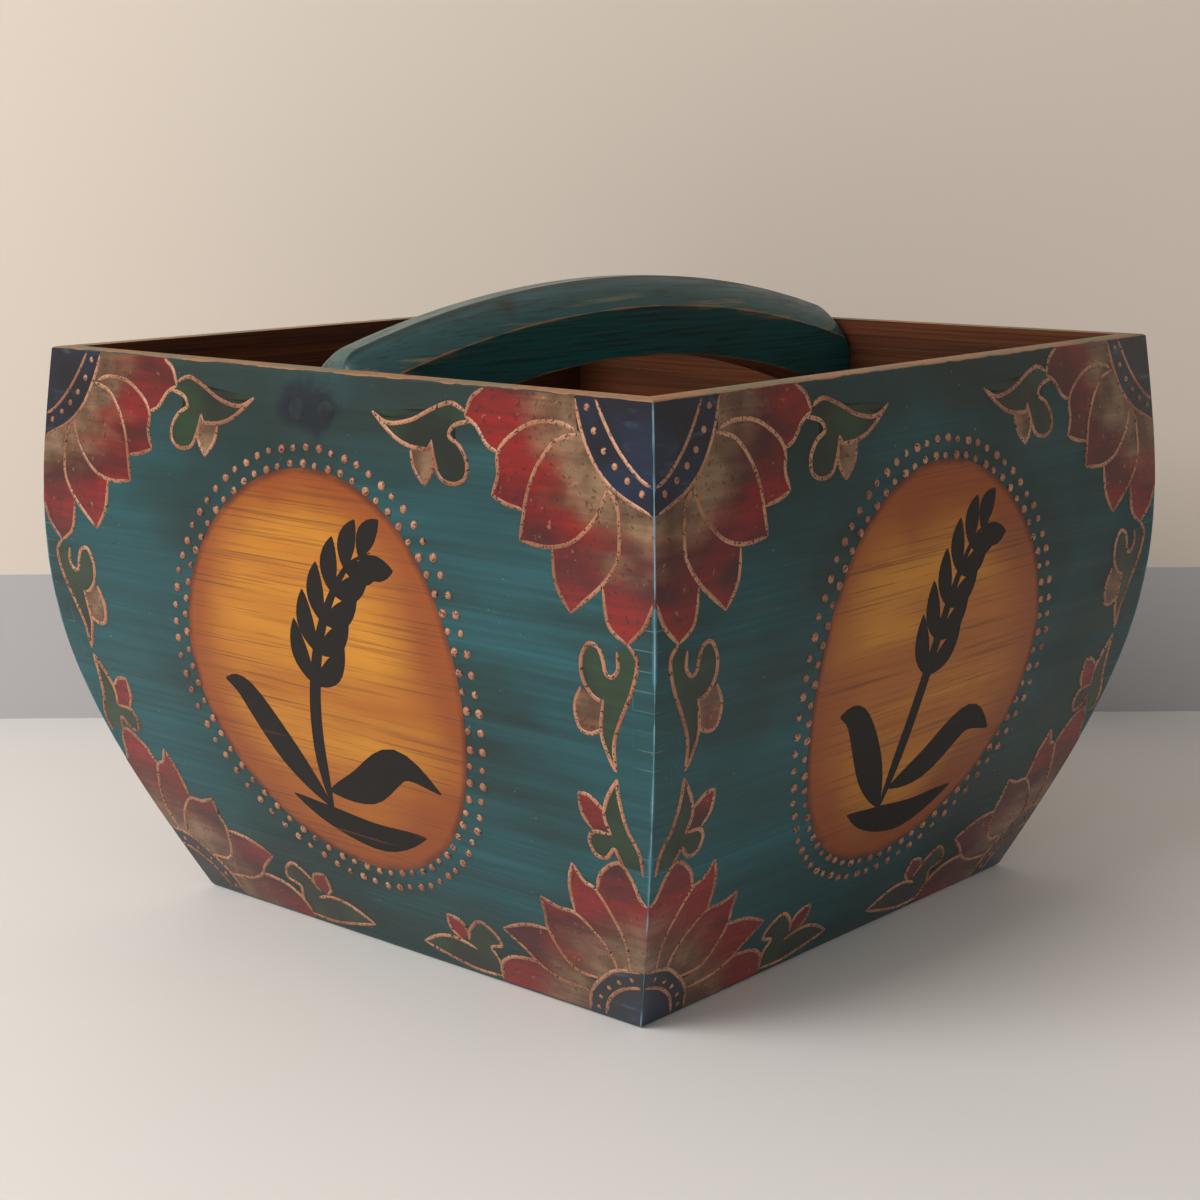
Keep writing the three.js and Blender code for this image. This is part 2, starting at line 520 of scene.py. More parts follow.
@lru_cache(maxsize=None)
def specks() -> bpy.types.NodeTree:
    """Makes small scattered specks of dirt or missing paint.

    Returns:
        The node group.
    """
    tree, g, given, made = new_group(
        "specks", {"Vector": "Vector", "Scale": "Float", "Amount": "Float"}, {"Mask": "Float"}
    )
    noise = g.add(
        "TexNoise", None, Vector=given.outputs["Vector"], Scale=given.outputs["Scale"], Detail=2.0
    )
    level = g.plus(noise.outputs["Fac"], given.outputs["Amount"])
    tree.links.new(g.range(level, 0.98, 1.04), made.inputs["Mask"])
    return tree


class Finish:
    """A surface finish: a material that is made once."""

    name = "finish"
    shine = 0.25

    @lru_cache(maxsize=None)
    def material(self) -> bpy.types.Material:
        """Makes the finish as a material.

        Returns:
            The material.
        """
        made = bpy.data.materials.new(self.name)
        made.use_nodes = True
        made.node_tree.nodes.clear()
        g = Graph(made.node_tree)
        shader = g.add("BsdfPrincipled")
        out = g.add("OutputMaterial")
        made.node_tree.links.new(shader.outputs[0], out.inputs["Surface"])
        self.dress(g, shader)
        return made

    def dress(self, g: Graph, shader: bpy.types.Node) -> None:
        """Adds the finish's nodes in front of its shader."""
        raise NotImplementedError

    def join(
        self, g: Graph, shader: bpy.types.Node, colour: object, rough: object, height: object = None,
        depth: float = 0.2, coat: float = 0.0,
    ) -> None:
        """Links a finish's colour, roughness and relief to its shader.

        Args:
            g: The material's graph.
            shader: Its shader.
            colour: The colour's socket.
            rough: The roughness, a socket or a value.
            height: The relief's socket, if there is one.
            depth: The relief's strength.
            coat: The weight of the clear varnish.
        """
        g.tree.links.new(colour, shader.inputs["Base Color"])
        g.feed(shader.inputs["Roughness"], rough)
        shader.inputs["Specular IOR Level"].default_value = self.shine
        shader.inputs["Coat Weight"].default_value = coat
        shader.inputs["Coat Roughness"].default_value = 0.14
        if height is not None:
            bump = g.add("Bump", None, Strength=depth, Distance=0.0004, Height=height)
            g.tree.links.new(bump.outputs[0], shader.inputs["Normal"])

    def patina_and_edge_sheen(self, g: Graph, place: object, colour: object, across: object) -> bpy.types.NodeSocket:
        """Darkens a coat with fine brush marks, and lightens it along the corner's edge with a painted
        highlight, partly paint rubbed thin.

        Args:
            g: The material's graph.
            place: The object coordinates.
            colour: The coat's colour.
            across: The distance in from the corner.

        Returns:
            The aged colour, with the painted highlight on its edge.
        """
        fine = g.group(brushed_grain(), Vector=place).outputs["Fine"]
        cloud = g.range(g.noise(place, 120.0, 5.0, (0.5, 0.5, 2.0)), 0.4, 0.68)
        dark = g.math("MAXIMUM", g.times(fine, 0.34), g.times(cloud, 0.3))
        aged = g.mix(dark, colour, rgb(30, 24, 20))
        # Pale blue along the corner's edge: a painted highlight on the edge, partly paint rubbed off.
        corner = g.group(edge_wear_and_sheen(), Vector=place, Distance=across, Width=0.2 * MM)
        broken = g.range(g.noise(place, 55.0, 4.0), 0.4, 0.6, 0.15, 0.85)
        return g.mix(g.times(corner.outputs["Bare"], broken), aged, rgb(132, 166, 182))

    def panel(self, g: Graph) -> tuple[bpy.types.NodeSocket, bpy.types.NodeSocket, bpy.types.NodeSocket]:
        """Reads the place on a wall.

        Args:
            g: The material's graph.

        Returns:
            The object coordinates, the distance in from a corner and the height, in metres.
        """
        place = g.place()
        flat = g.add("UVMap", {"uv_map": PANEL_MAP}).outputs[0]
        parts = g.add("SeparateXYZ", None, Vector=flat)
        return place, parts.outputs["X"], parts.outputs["Y"]


@dataclass(frozen=True)
class TealPaint(Finish):
    """Teal paint brushed along the board, darkened to green-black towards foot and rim partly with age and
    partly with painted shade, worn at the edges, with a painted highlight along the corners.

    Attributes:
        deep: The darkest paint.
        middle: The paint's own colour.
        light: The colour of its brushed streaks.
        bare: The wood where the paint is gone.
        rubbed: The pale teal along a corner's edge: a painted highlight, partly paint rubbed thin.
        height: The wall's height, for the wear at its rim.
        pitch: The height of one finger.
        top_finger: The height of the finger at the rim.
        board: The board's thickness, the length of a finger.
        plug_side: How far each smudge stands to the side of the wall's middle.
        plug_height: The height of the smudges.
    """

    name: str = "teal_paint"
    deep: tuple = rgb(22, 48, 48)
    middle: tuple = rgb(27, 74, 79)
    light: tuple = rgb(40, 98, 106)
    bare: tuple = rgb(150, 106, 74)
    rubbed: tuple = rgb(88, 152, 172)
    height: float = 238 * MM
    pitch: float = 7 * MM
    top_finger: float = 4.5 * MM
    board: float = 9.5 * MM
    plug_side: float = 5 * MM
    plug_height: float = 223 * MM

    def plug_smudge(self, g: Graph, place: object) -> bpy.types.NodeSocket:
        """Marks the dark smudge of filler round the screw plugs.

        Args:
            g: The material's graph.
            place: The object coordinates.

        Returns:
            The mask.
        """
        parts = g.add("SeparateXYZ", None, Vector=place)
        side = g.minus(g.math("ABSOLUTE", parts.outputs["X"]), self.plug_side)
        rise = g.minus(parts.outputs["Z"], self.plug_height)
        reach = g.distance(side, rise)
        uneven = g.times(g.minus(g.noise(place, 70.0, 5.0), 0.5), 22 * MM)
        return g.range(g.plus(reach, uneven), 14 * MM, 7 * MM)

    def joint_lines(self, g: Graph, across: object, z: object) -> bpy.types.NodeSocket:
        """Marks the hairlines of the finger joints, within one board's thickness of a corner.

        Args:
            g: The material's graph.
            across: The distance in from the corner.
            z: The height.

        Returns:
            The mask.
        """
        down = g.minus(self.height - self.top_finger, z)
        turns = g.math("DIVIDE", down, self.pitch)
        level = g.math("PINGPONG", turns, 0.5)
        near_level = g.range(level, 0.05, 0.0)
        in_board = g.math("LESS_THAN", across, self.board)
        odd = g.math("GREATER_THAN", g.math("FRACT", g.times(turns, 0.5)), 0.5)
        end = g.math("ABSOLUTE", g.minus(across, self.board))
        near_end = g.times(g.range(end, 0.35 * MM, 0.0), odd)
        return g.math("MAXIMUM", g.times(near_level, in_board), near_end, clamp=True)

    def dress(self, g: Graph, shader: bpy.types.Node) -> None:
        """Adds the paint's nodes.

        Args:
            g: The material's graph.
            shader: Its shader.
        """
        place, across, z = self.panel(g)
        grain = g.group(brushed_grain(), Vector=place)
        blotch = g.range(g.noise(place, 11.0, 4.0, (1, 1, 1.6)), 0.38, 0.66)
        colour = g.mix(blotch, self.deep, self.middle)
        brushed = g.times(grain.outputs["Streaks"], g.range(g.noise(place, 6.0, 2.0), 0.35, 0.65))
        colour = g.mix(g.times(brushed, 0.75), colour, self.light)
        colour = g.mix(g.times(grain.outputs["Fine"], 0.35), colour, self.deep)
        from_rim = g.minus(self.height, z)
        # Towards the foot and the rim the teal darkens to green-black: painted shade, partly age darkening
        # of the paint.
        shade = g.times(
            g.range(g.math("MINIMUM", z, from_rim), 0.06, 0.0),
            g.range(g.noise(place, 16.0, 4.0), 0.3, 0.6),
        )
        colour = g.mix(g.times(shade, 0.55), colour, rgb(30, 34, 24))
        lines = self.joint_lines(g, across, z)
        broken = g.times(lines, g.range(g.noise(place, 40.0, 2.0), 0.42, 0.62))
        colour = g.mix(g.times(broken, 0.5), colour, rgb(120, 140, 135))
        corner = g.group(edge_wear_and_sheen(), Vector=place, Distance=across, Width=0.2 * MM)
        rims = g.group(
            edge_wear_and_sheen(), Vector=place, Distance=g.math("MINIMUM", from_rim, g.plus(z, 0.6 * MM)),
            Width=0.5 * MM,
        )
        # The pale teal and pale blue bands along the corner's edge are a painted highlight on the edge,
        # partly paint rubbed thin and off.
        colour = g.mix(g.times(corner.outputs["Thin_and_sheen"], 0.45), colour, self.rubbed)
        broken = g.range(g.noise(place, 55.0, 4.0), 0.4, 0.6, 0.2, 0.9)
        colour = g.mix(g.times(corner.outputs["Bare"], broken), colour, rgb(138, 170, 182))
        colour = g.mix(rims.outputs["Bare"], colour, self.bare)
        colour = g.mix(g.times(self.plug_smudge(g, place), 0.9), colour, rgb(14, 24, 36))
        dots = g.group(specks(), Vector=place, Scale=420.0, Amount=0.25)
        colour = g.mix(dots.outputs["Mask"], colour, rgb(88, 112, 108))
        rough = g.range(grain.outputs["Streaks"], 0.0, 1.0, 0.36, 0.5)
        relief = g.minus(g.times(grain.outputs["Fine"], 0.5), g.times(lines, 0.7))
        self.join(g, shader, colour, rough, relief, 0.25, 0.12)


@dataclass(frozen=True)
class StainedWood(Finish):
    """Brown stained board, its grain level, with painted shade that darkens it in the depth of the box.

    Attributes:
        dark: The stain in the grain, and the painted shade in the depth.
        light: The stain between.
    """

    name: str = "stained_wood"
    dark: tuple = rgb(38, 20, 12)
    light: tuple = rgb(100, 54, 28)

    def dress(self, g: Graph, shader: bpy.types.Node) -> None:
        """Adds the stain's nodes.

        Args:
            g: The material's graph.
            shader: Its shader.
        """
        place = g.place()
        grain = g.group(brushed_grain(), Vector=place)
        # Painted shade: the board darkens towards the bottom of the box.
        depth = g.range(g.add("SeparateXYZ", None, Vector=place).outputs["Z"], 0.02, 0.22, 0.45, 0.95)
        colour = g.mix(
            g.times(depth, g.range(grain.outputs["Streaks"], 0, 1, 0.45, 1.0)), self.dark, self.light
        )
        colour = g.mix(g.times(grain.outputs["Fine"], 0.35), colour, self.dark)
        self.join(g, shader, colour, 0.55, grain.outputs["Fine"], 0.3, 0.1)


@dataclass(frozen=True)
class WornRim(Finish):
    """The rim's top: paint worn away to tan wood, grey-green where some is left."""

    name: str = "worn_rim"

    def dress(self, g: Graph, shader: bpy.types.Node) -> None:
        """Adds the rim's nodes.

        Args:
            g: The material's graph.
            shader: Its shader.
        """
        place = g.place()
        patch = g.range(g.noise(place, 24.0, 4.0, (1, 1, 1)), 0.4, 0.62)
        colour = g.mix(patch, rgb(150, 108, 76), rgb(112, 104, 80))
        fine = g.noise(place, 240.0, 4.0)
        colour = g.mix(g.range(fine, 0.5, 0.75, 0.0, 0.6), colour, rgb(74, 48, 32))
        self.join(g, shader, colour, 0.6, fine, 0.3)


@dataclass(frozen=True)
class HandlePaint(Finish):
    """Teal on the handle, lighter on its lower side against the shade there, with a painted highlight of
    grey-green on its top and a painted shadow line under it, rubbed to copper wood on the arris.

    Attributes:
        crest: The height of the handle's top.
        arc: The radius of its top.
        arris: The arris's depth under the top.
        under_arc: The radius of its underside.
        under_crest: The height of its underside at the crest.
    """

    name: str = "handle_paint"
    crest: float = 264.7 * MM
    arc: float = 545 * MM
    arris: float = 12.4 * MM
    under_arc: float = 445 * MM
    under_crest: float = 231.4 * MM

    def dress(self, g: Graph, shader: bpy.types.Node) -> None:
        """Adds the handle's nodes.

        Args:
            g: The material's graph.
            shader: Its shader.
        """
        place = g.place()
        parts = g.add("SeparateXYZ", None, Vector=place)
        y, z = parts.outputs["Y"], parts.outputs["Z"]
        side = g.math("ABSOLUTE", parts.outputs["X"])
        long_grain = g.noise(place, 30.0, 4.0, (9.0, 0.35, 9.0))
        streaks = g.range(long_grain, 0.35, 0.68)
        rise = g.plus(z, self.arc - self.crest)
        radius = g.distance(rise, y)
        below = g.minus(self.arc, radius)
        # The lower side is given a lighter teal than the upper: painted light that lifts the shade falling
        # on it.
        upper = g.range(below, self.arris * 1.25, self.arris * 0.4)
        colour = g.mix(upper, rgb(24, 88, 88), rgb(30, 74, 78))
        colour = g.mix(g.times(streaks, 0.55), colour, rgb(24, 48, 50))
        # Painted highlight: the narrow top flat is lightened to grey-green where it takes the light.
        colour = g.mix(g.range(side, 4.6 * MM, 3.7 * MM), colour, rgb(66, 90, 86))
        # Painted shadow: a dark line under the top flat, partly darkened old paint.
        shade = g.times(g.range(side, 4.0 * MM, 4.7 * MM), g.range(side, 7.0 * MM, 5.2 * MM))
        colour = g.mix(g.times(shade, 0.7), colour, rgb(22, 34, 34))
        blotch = g.range(g.noise(place, 26.0, 2.0), 0.6, 0.72)
        colour = g.mix(g.times(blotch, 0.85), colour, rgb(26, 32, 30))
        worn_streak = g.times(
            g.range(long_grain, 0.5, 0.62), g.range(below, self.arris * 0.3, self.arris * 0.8)
        )
        patch = g.range(g.noise(place, 18.0, 3.0), 0.42, 0.6)
        faded = g.times(g.times(worn_streak, patch), g.range(below, self.arris * 1.3, self.arris))
        colour = g.mix(g.times(faded, 0.8), colour, rgb(122, 116, 92))
        drop = g.minus(z, self.under_crest - self.under_arc)
        under = g.distance(drop, y)
        low_edge = g.group(
            edge_wear_and_sheen(), Vector=place, Distance=g.minus(under, self.under_arc), Width=0.5 * MM
        )
        colour = g.mix(low_edge.outputs["Bare"], colour, rgb(118, 88, 64))
        from_arris = g.math("ABSOLUTE", g.minus(below, self.arris))
        worn = g.group(edge_wear_and_sheen(), Vector=place, Distance=from_arris, Width=0.35 * MM)
        colour = g.mix(worn.outputs["Bare"], colour, rgb(140, 98, 70))
        fine = g.noise(place, 95.0, 5.0, (7.0, 0.3, 7.0))
        colour = g.mix(g.range(fine, 0.5, 0.68, 0.0, 0.5), colour, rgb(20, 34, 34))
        self.join(g, shader, colour, g.range(streaks, 0, 1, 0.34, 0.5), fine, 0.5, 0.25)


@dataclass(frozen=True)
class CopperPaste(Finish):
    """Piped outline paste: copper-tan, with dark dirt in its pits, under varnish."""

    name: str = "copper_paste"

    def dress(self, g: Graph, shader: bpy.types.Node) -> None:
        """Adds the paste's nodes.

        Args:
            g: The material's graph.
            shader: Its shader.
        """
        place = g.place()
        tint = g.range(g.noise(place, 45.0, 3.0), 0.35, 0.65)
        colour = g.mix(tint, rgb(142, 88, 62), rgb(184, 130, 98))
        pits = g.group(specks(), Vector=place, Scale=1000.0, Amount=0.42)
        colour = g.mix(pits.outputs["Mask"], colour, rgb(48, 34, 30))
        self.join(g, shader, colour, 0.42, g.noise(place, 420.0, 2.0), 0.35, 0.35)


@dataclass(frozen=True)
class PetalEnamel(Finish):
    """Red enamel that is rubbed back to tan towards the heart of its flower.

    Attributes:
        centre: The height of the flower's heart.
        near: The distance from it where the tan ends.
        far: The distance where the red is full.
    """

    name: str = "petal_enamel"
    centre: float = 238 * MM
    near: float = 40 * MM
    far: float = 63 * MM

    def dress(self, g: Graph, shader: bpy.types.Node) -> None:
        """Adds the enamel's nodes.

        Args:
            g: The material's graph.
            shader: Its shader.
        """
        place, across, z = self.panel(g)
        drop = g.minus(z, self.centre)
        reach = g.distance(across, drop)
        uneven = g.times(g.minus(g.noise(place, 38.0, 5.0, (1, 1, 3.0)), 0.5), 34 * MM)
        share = g.range(g.plus(reach, uneven), self.near, self.far)
        tan = g.mix(g.range(g.noise(place, 60.0, 4.0), 0.35, 0.65), rgb(94, 64, 44), rgb(142, 112, 84))
        deep = g.mix(
            g.range(g.noise(place, 20.0, 4.0, (1, 1, 2.2)), 0.36, 0.62), rgb(74, 14, 18),
            rgb(136, 22, 20),
        )
        colour = g.mix(share, tan, deep)
        fleck = g.group(specks(), Vector=place, Scale=300.0, Amount=0.3)
        colour = g.mix(g.times(fleck.outputs["Mask"], 0.5), colour, rgb(176, 128, 98))
        stain = g.group(specks(), Vector=place, Scale=480.0, Amount=0.37)
        colour = g.mix(g.times(stain.outputs["Mask"], 0.6), colour, rgb(52, 26, 24))
        colour = self.patina_and_edge_sheen(g, place, colour, across)
        self.join(g, shader, colour, 0.36, g.noise(place, 130.0, 4.0, (0.4, 0.4, 3.0)), 0.3, 0.3)


@dataclass(frozen=True)
class DarkEnamel(Finish):
    """Dark enamel with a little worn light in it: leaf green or the navy of the hearts.

    Attributes:
        dark: The enamel's darker colour.
        light: Its lighter colour.
        dust: The colour where it is worn.
        gloss: Its roughness.
        dusting: The greatest share of the worn colour.
    """

    name: str = "leaf_enamel"
    dark: tuple = rgb(16, 30, 22)
    light: tuple = rgb(26, 58, 34)
    dust: tuple = rgb(70, 88, 66)
    gloss: float = 0.35
    dusting: float = 0.12

    def dress(self, g: Graph, shader: bpy.types.Node) -> None:
        """Adds the enamel's nodes.

        Args:
            g: The material's graph.
            shader: Its shader.
        """
        place, across, _ = self.panel(g)
        colour = g.mix(g.range(g.noise(place, 30.0, 4.0), 0.38, 0.62), self.dark, self.light)
        worn = g.range(g.noise(place, 90.0, 6.0, (0.6, 0.6, 2.0)), 0.56, 0.74)
        colour = g.mix(g.times(worn, self.dusting), colour, self.dust)
        colour = self.patina_and_edge_sheen(g, place, colour, across)
        self.join(g, shader, colour, self.gloss, g.noise(place, 160.0, 3.0), 0.25, 0.35)


@dataclass(frozen=True)
class GiltWood(Finish):
    """Golden varnish over bare wood: dark pore lines along the board, browner to the edge.

    Attributes:
        middle: The height of the oval's centre.
        half_width: Half the oval's width.
        half_height: Half its height.
    """

    name: str = "gilt_wood"
    middle: float = 121 * MM
    half_width: float = 77 * MM
    half_height: float = 80.5 * MM

    def dress(self, g: Graph, shader: bpy.types.Node) -> None:
        """Adds the varnish's nodes.

        Args:
            g: The material's graph.
            shader: Its shader.
        """
        place, across, z = self.panel(g)
        side = g.math("DIVIDE", across, self.half_width)
        rise = g.math("DIVIDE", g.minus(z, self.middle), self.half_height)
        reach = g.distance(side, rise)
        uneven = g.times(g.minus(g.noise(place, 14.0, 3.0), 0.5), 0.7)
        rim = g.range(g.plus(reach, uneven), 0.5, 0.98)
        broad = g.range(g.noise(place, 8.0, 4.0, (0.6, 0.6, 4.5)), 0.35, 0.65)
        colour = g.mix(broad, rgb(166, 94, 22), rgb(198, 132, 32))
        colour = g.mix(rim, colour, rgb(142, 70, 20))
        pores = g.noise(place, 105.0, 5.0, (0.1, 0.1, 7.5))
        colour = g.mix(g.range(pores, 0.52, 0.7, 0.0, 0.6), colour, rgb(112, 58, 20))
        lines = g.noise(place, 190.0, 2.0, (0.07, 0.07, 6.0))
        colour = g.mix(g.range(lines, 0.6, 0.68, 0.0, 0.5), colour, rgb(66, 36, 18))
        edge = g.times(
            g.range(reach, 0.955, 0.995), g.range(g.noise(place, 60.0, 4.0), 0.3, 0.6, 0.3, 0.9)
        )
        colour = g.mix(edge, colour, rgb(84, 34, 18))
        self.join(g, shader, colour, 0.42, pores, 0.2, 0.2)


@dataclass(frozen=True)
class BrushBlack(Finish):
    """Black brush paint, thin enough in places for the grain to show."""

    name: str = "brush_black"

    def dress(self, g: Graph, shader: bpy.types.Node) -> None:
        """Adds the paint's nodes.

        Args:
            g: The material's graph.
            shader: Its shader.
        """
        place = g.place()
        dry = g.range(g.noise(place, 80.0, 4.0, (0.15, 0.15, 5.0)), 0.64, 0.72)
        colour = g.mix(g.times(dry, 0.5), rgb(18, 13, 11), rgb(110, 66, 24))
        self.join(g, shader, colour, 0.5, g.noise(place, 200.0, 3.0), 0.15)


@dataclass(frozen=True)
class DarkPlug(Finish):
    """Filler and paint over a plug, darker than the paint round it."""

    name: str = "dark_plug"

    def dress(self, g: Graph, shader: bpy.types.Node) -> None:
        """Adds the filler's nodes.

        Args:
            g: The material's graph.
            shader: Its shader.
        """
        place = g.place()
        patch = g.range(g.noise(place, 120.0, 4.0), 0.4, 0.62)
        colour = g.mix(patch, rgb(15, 22, 28), rgb(22, 36, 44))
        self.join(g, shader, colour, 0.55, g.noise(place, 300.0, 3.0), 0.2, 0.1)


@dataclass(frozen=True)
class ScrewSteel(Finish):
    """Plain steel of the hidden screws."""

    name: str = "screw_steel"

    def dress(self, g: Graph, shader: bpy.types.Node) -> None:
        """Adds the steel's nodes.

        Args:
            g: The material's graph.
            shader: Its shader.
        """
        place = g.place()
        shader.inputs["Metallic"].default_value = 1.0
        colour = g.mix(g.noise(place, 500.0, 3.0), rgb(120, 120, 118), rgb(160, 160, 156))
        self.join(g, shader, colour, 0.4, g.noise(place, 700.0, 2.0), 0.1)


def to_mesh(bm: bmesh.types.BMesh, name: str) -> bpy.types.Mesh:
    """Writes a finished bmesh to a new mesh and frees it.

    Args:
        bm: The bmesh.
        name: The mesh's name.

    Returns:
        The mesh.
    """
    mesh = bpy.data.meshes.new(name)
    bm.to_mesh(mesh)
    bm.free()
    return mesh


def add_object(name: str, data: bpy.types.ID) -> bpy.types.Object:
    """Adds an object to the scene.

    Args:
        name: Its name.
        data: Its mesh, curve, camera or light.

    Returns:
        The object.
    """
    item = bpy.data.objects.new(name, data)
    bpy.context.scene.collection.objects.link(item)
    return item


def everything(bm: bmesh.types.BMesh) -> list:
    """All the vertices, edges and faces of a bmesh."""
    return bm.verts[:] + bm.edges[:] + bm.faces[:]


def finish_piece(
    name: str, mesh: bpy.types.Mesh, materials: list[bpy.types.Material], sharp: float = 35.0
) -> bpy.types.Object:
    """Makes a piece of a mesh that is already in place, and lets it ride on the measure.

    Args:
        name: The piece's name.
        mesh: Its mesh.
        materials: Its materials in order.
        sharp: The angle in degrees past which an edge stays sharp.

    Returns:
        The piece.
    """
    piece = add_object(name, mesh)
    for material in materials:
        mesh.materials.append(material)
    mesh.shade_smooth()
    mesh.set_sharp_from_angle(angle=math.radians(sharp))
    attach(piece, BODY)
    log.info("%s: %d faces", name, len(mesh.polygons))
    return piece


@dataclass
class CurvedWall:
    """One bent board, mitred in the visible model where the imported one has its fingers.

    Attributes:
        face: The wall's painted face.
        columns: The stretches along the board.
        rows: The stretches up its curve.
        round_over: The width of the worn rim and foot edges.
    """

    face: WallFace
    columns: int = 12
    rows: int = 72
    round_over: float = 1.1 * MM

    def sheet(self, bm: bmesh.types.BMesh, inset: float) -> list[bmesh.types.BMVert]:
        """Adds one skin of the board, bent to the wall's curve.

        Args:
            bm: The board's mesh.
            inset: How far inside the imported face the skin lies.

        Returns:
            The skin's vertices.
        """
        profile = self.face.profile
        made = bmesh.ops.create_grid(bm, x_segments=self.columns, y_segments=self.rows, size=1.0)
        for vert in made["verts"]:
            z = (vert.co.y + 1) / 2 * profile.height
            vert.co = self.face.at(vert.co.x * profile.out(z, inset), z, 0.0, inset)
        return made["verts"]

    def build(self) -> bpy.types.Object:
        """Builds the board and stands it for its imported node.

        Returns:
            The board.
        """
        face = self.face
        profile = face.profile
        bm = bmesh.new()
        outer = set(self.sheet(bm, face.recess))
        self.sheet(bm, profile.thickness)
        open_edges = [e for e in bm.edges if e.is_boundary]
        bmesh.ops.bridge_loops(bm, edges=open_edges)
        bmesh.ops.recalc_face_normals(bm, faces=bm.faces)
        level = (0.0, profile.height)
        worn = []
        for edge in bm.edges:
            run = (edge.verts[1].co - edge.verts[0].co).normalized()
            is_level = all(min(abs(v.co.z - h) for h in level) < 1e-6 for v in edge.verts)
            if is_level and abs(run.dot(face.along)) > 0.99 and all(v in outer for v in edge.verts):
                worn.append(edge)
        bmesh.ops.bevel(
            bm, geom=worn, offset=self.round_over, offset_type="OFFSET", segments=3, profile=0.5,
            affect="EDGES", material=-1, clamp_overlap=True,
        )
        uv = bm.loops.layers.uv.new(PANEL_MAP)
        middle = profile.thickness / 2
        for f in bm.faces:
            centre = f.calc_center_median()
            depth = profile.out(centre.z, 0.0) - centre.dot(face.outwards)
            if f.normal.z > 0.8:
                f.material_index = 2
            else:
                f.material_index = 1 if depth > middle else 0
            for loop in f.loops:
                co = loop.vert.co
                loop[uv].uv = (profile.out(co.z, face.recess) - abs(co.dot(face.along)), co.z)
        name = face.wall.name.lower() + "_wall"
        mesh = to_mesh(bm, name + "_board")
        finishes = [TealPaint().material(), StainedWood().material(), WornRim().material()]
        piece = finish_piece(name + "_board", mesh, finishes, 50.0)
        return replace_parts(piece, name)


@dataclass
class PaintedFields:
    """The flat fields of colour on one wall: each a thin coat laid on the curved face.

    Attributes:
        face: The wall's painted face.
        row: The height between the cuts that let a coat follow the curve.
        coat: The coat's thickness.
    """

    face: WallFace
    row: float = 3.0
    coat: float = 0.3 * MM

    def lay(self, bm: bmesh.types.BMesh, shape: Path, half: Half, layer: Coat) -> None:
        """Lays one closed shape on the wall.

        Args:
            bm: The mesh that it is added to.
            shape: Its outline, in millimetres.
            half: The half of the wall that it is on.
            layer: The layer that it is in.
        """
        flat = bmesh.new()
        uv = flat.loops.layers.uv.new(PANEL_MAP)
        corners = [flat.verts.new((x, z, 0)) for x, z in shape]
        flat.faces.new(corners)
        bmesh.ops.triangulate(flat, faces=flat.faces[:])
        low = min(z for _, z in shape)
        high = max(z for _, z in shape)
        for i in range(1, math.ceil((high - low) / self.row)):
            level = low + i * self.row
            bmesh.ops.bisect_plane(
                flat, geom=everything(flat), plane_co=(0, level, 0), plane_no=(0, 1, 0), dist=1e-5
            )
        for f in flat.faces:
            for loop in f.loops:
                loop[uv].uv = (loop.vert.co.x * MM, loop.vert.co.y * MM)
        for vert in flat.verts:
            vert.co = self.face.spot((vert.co.x, vert.co.y), half, layer.value)
        flat.normal_update()
        for f in flat.faces:
            if f.normal.dot(self.face.outwards) < 0:
                f.normal_flip()
        part = to_mesh(flat, "coat")
        bm.from_mesh(part)
        bpy.data.meshes.remove(part)

    def build(
        self, name: str, shapes: list[tuple[Path, Half]], layer: Coat, slot: str, finish: Finish
    ) -> bpy.types.Object:
        """Builds the fields of one colour as one piece.

        Args:
            name: What the fields are.
            shapes: Their outlines, in millimetres, and the half of the wall that each is on.
            layer: The layer that they are in.
            slot: The name of a material slot; not used.
            finish: Their finish.

        Returns:
            The piece.
        """
        bm = bmesh.new()
        bm.loops.layers.uv.new(PANEL_MAP)
        for shape, half in shapes:
            self.lay(bm, shape, half, layer)
        mesh = to_mesh(bm, name)
        piece = finish_piece(f"{self.face.wall.name.lower()}_{name}", mesh, [finish.material()])
        thick = piece.modifiers.new("coat", "SOLIDIFY")
        thick.thickness = self.coat
        thick.offset = -1.0
        crisp = piece.modifiers.new("crisp_rim", "EDGE_SPLIT")
        crisp.split_angle = math.radians(35)
        return piece


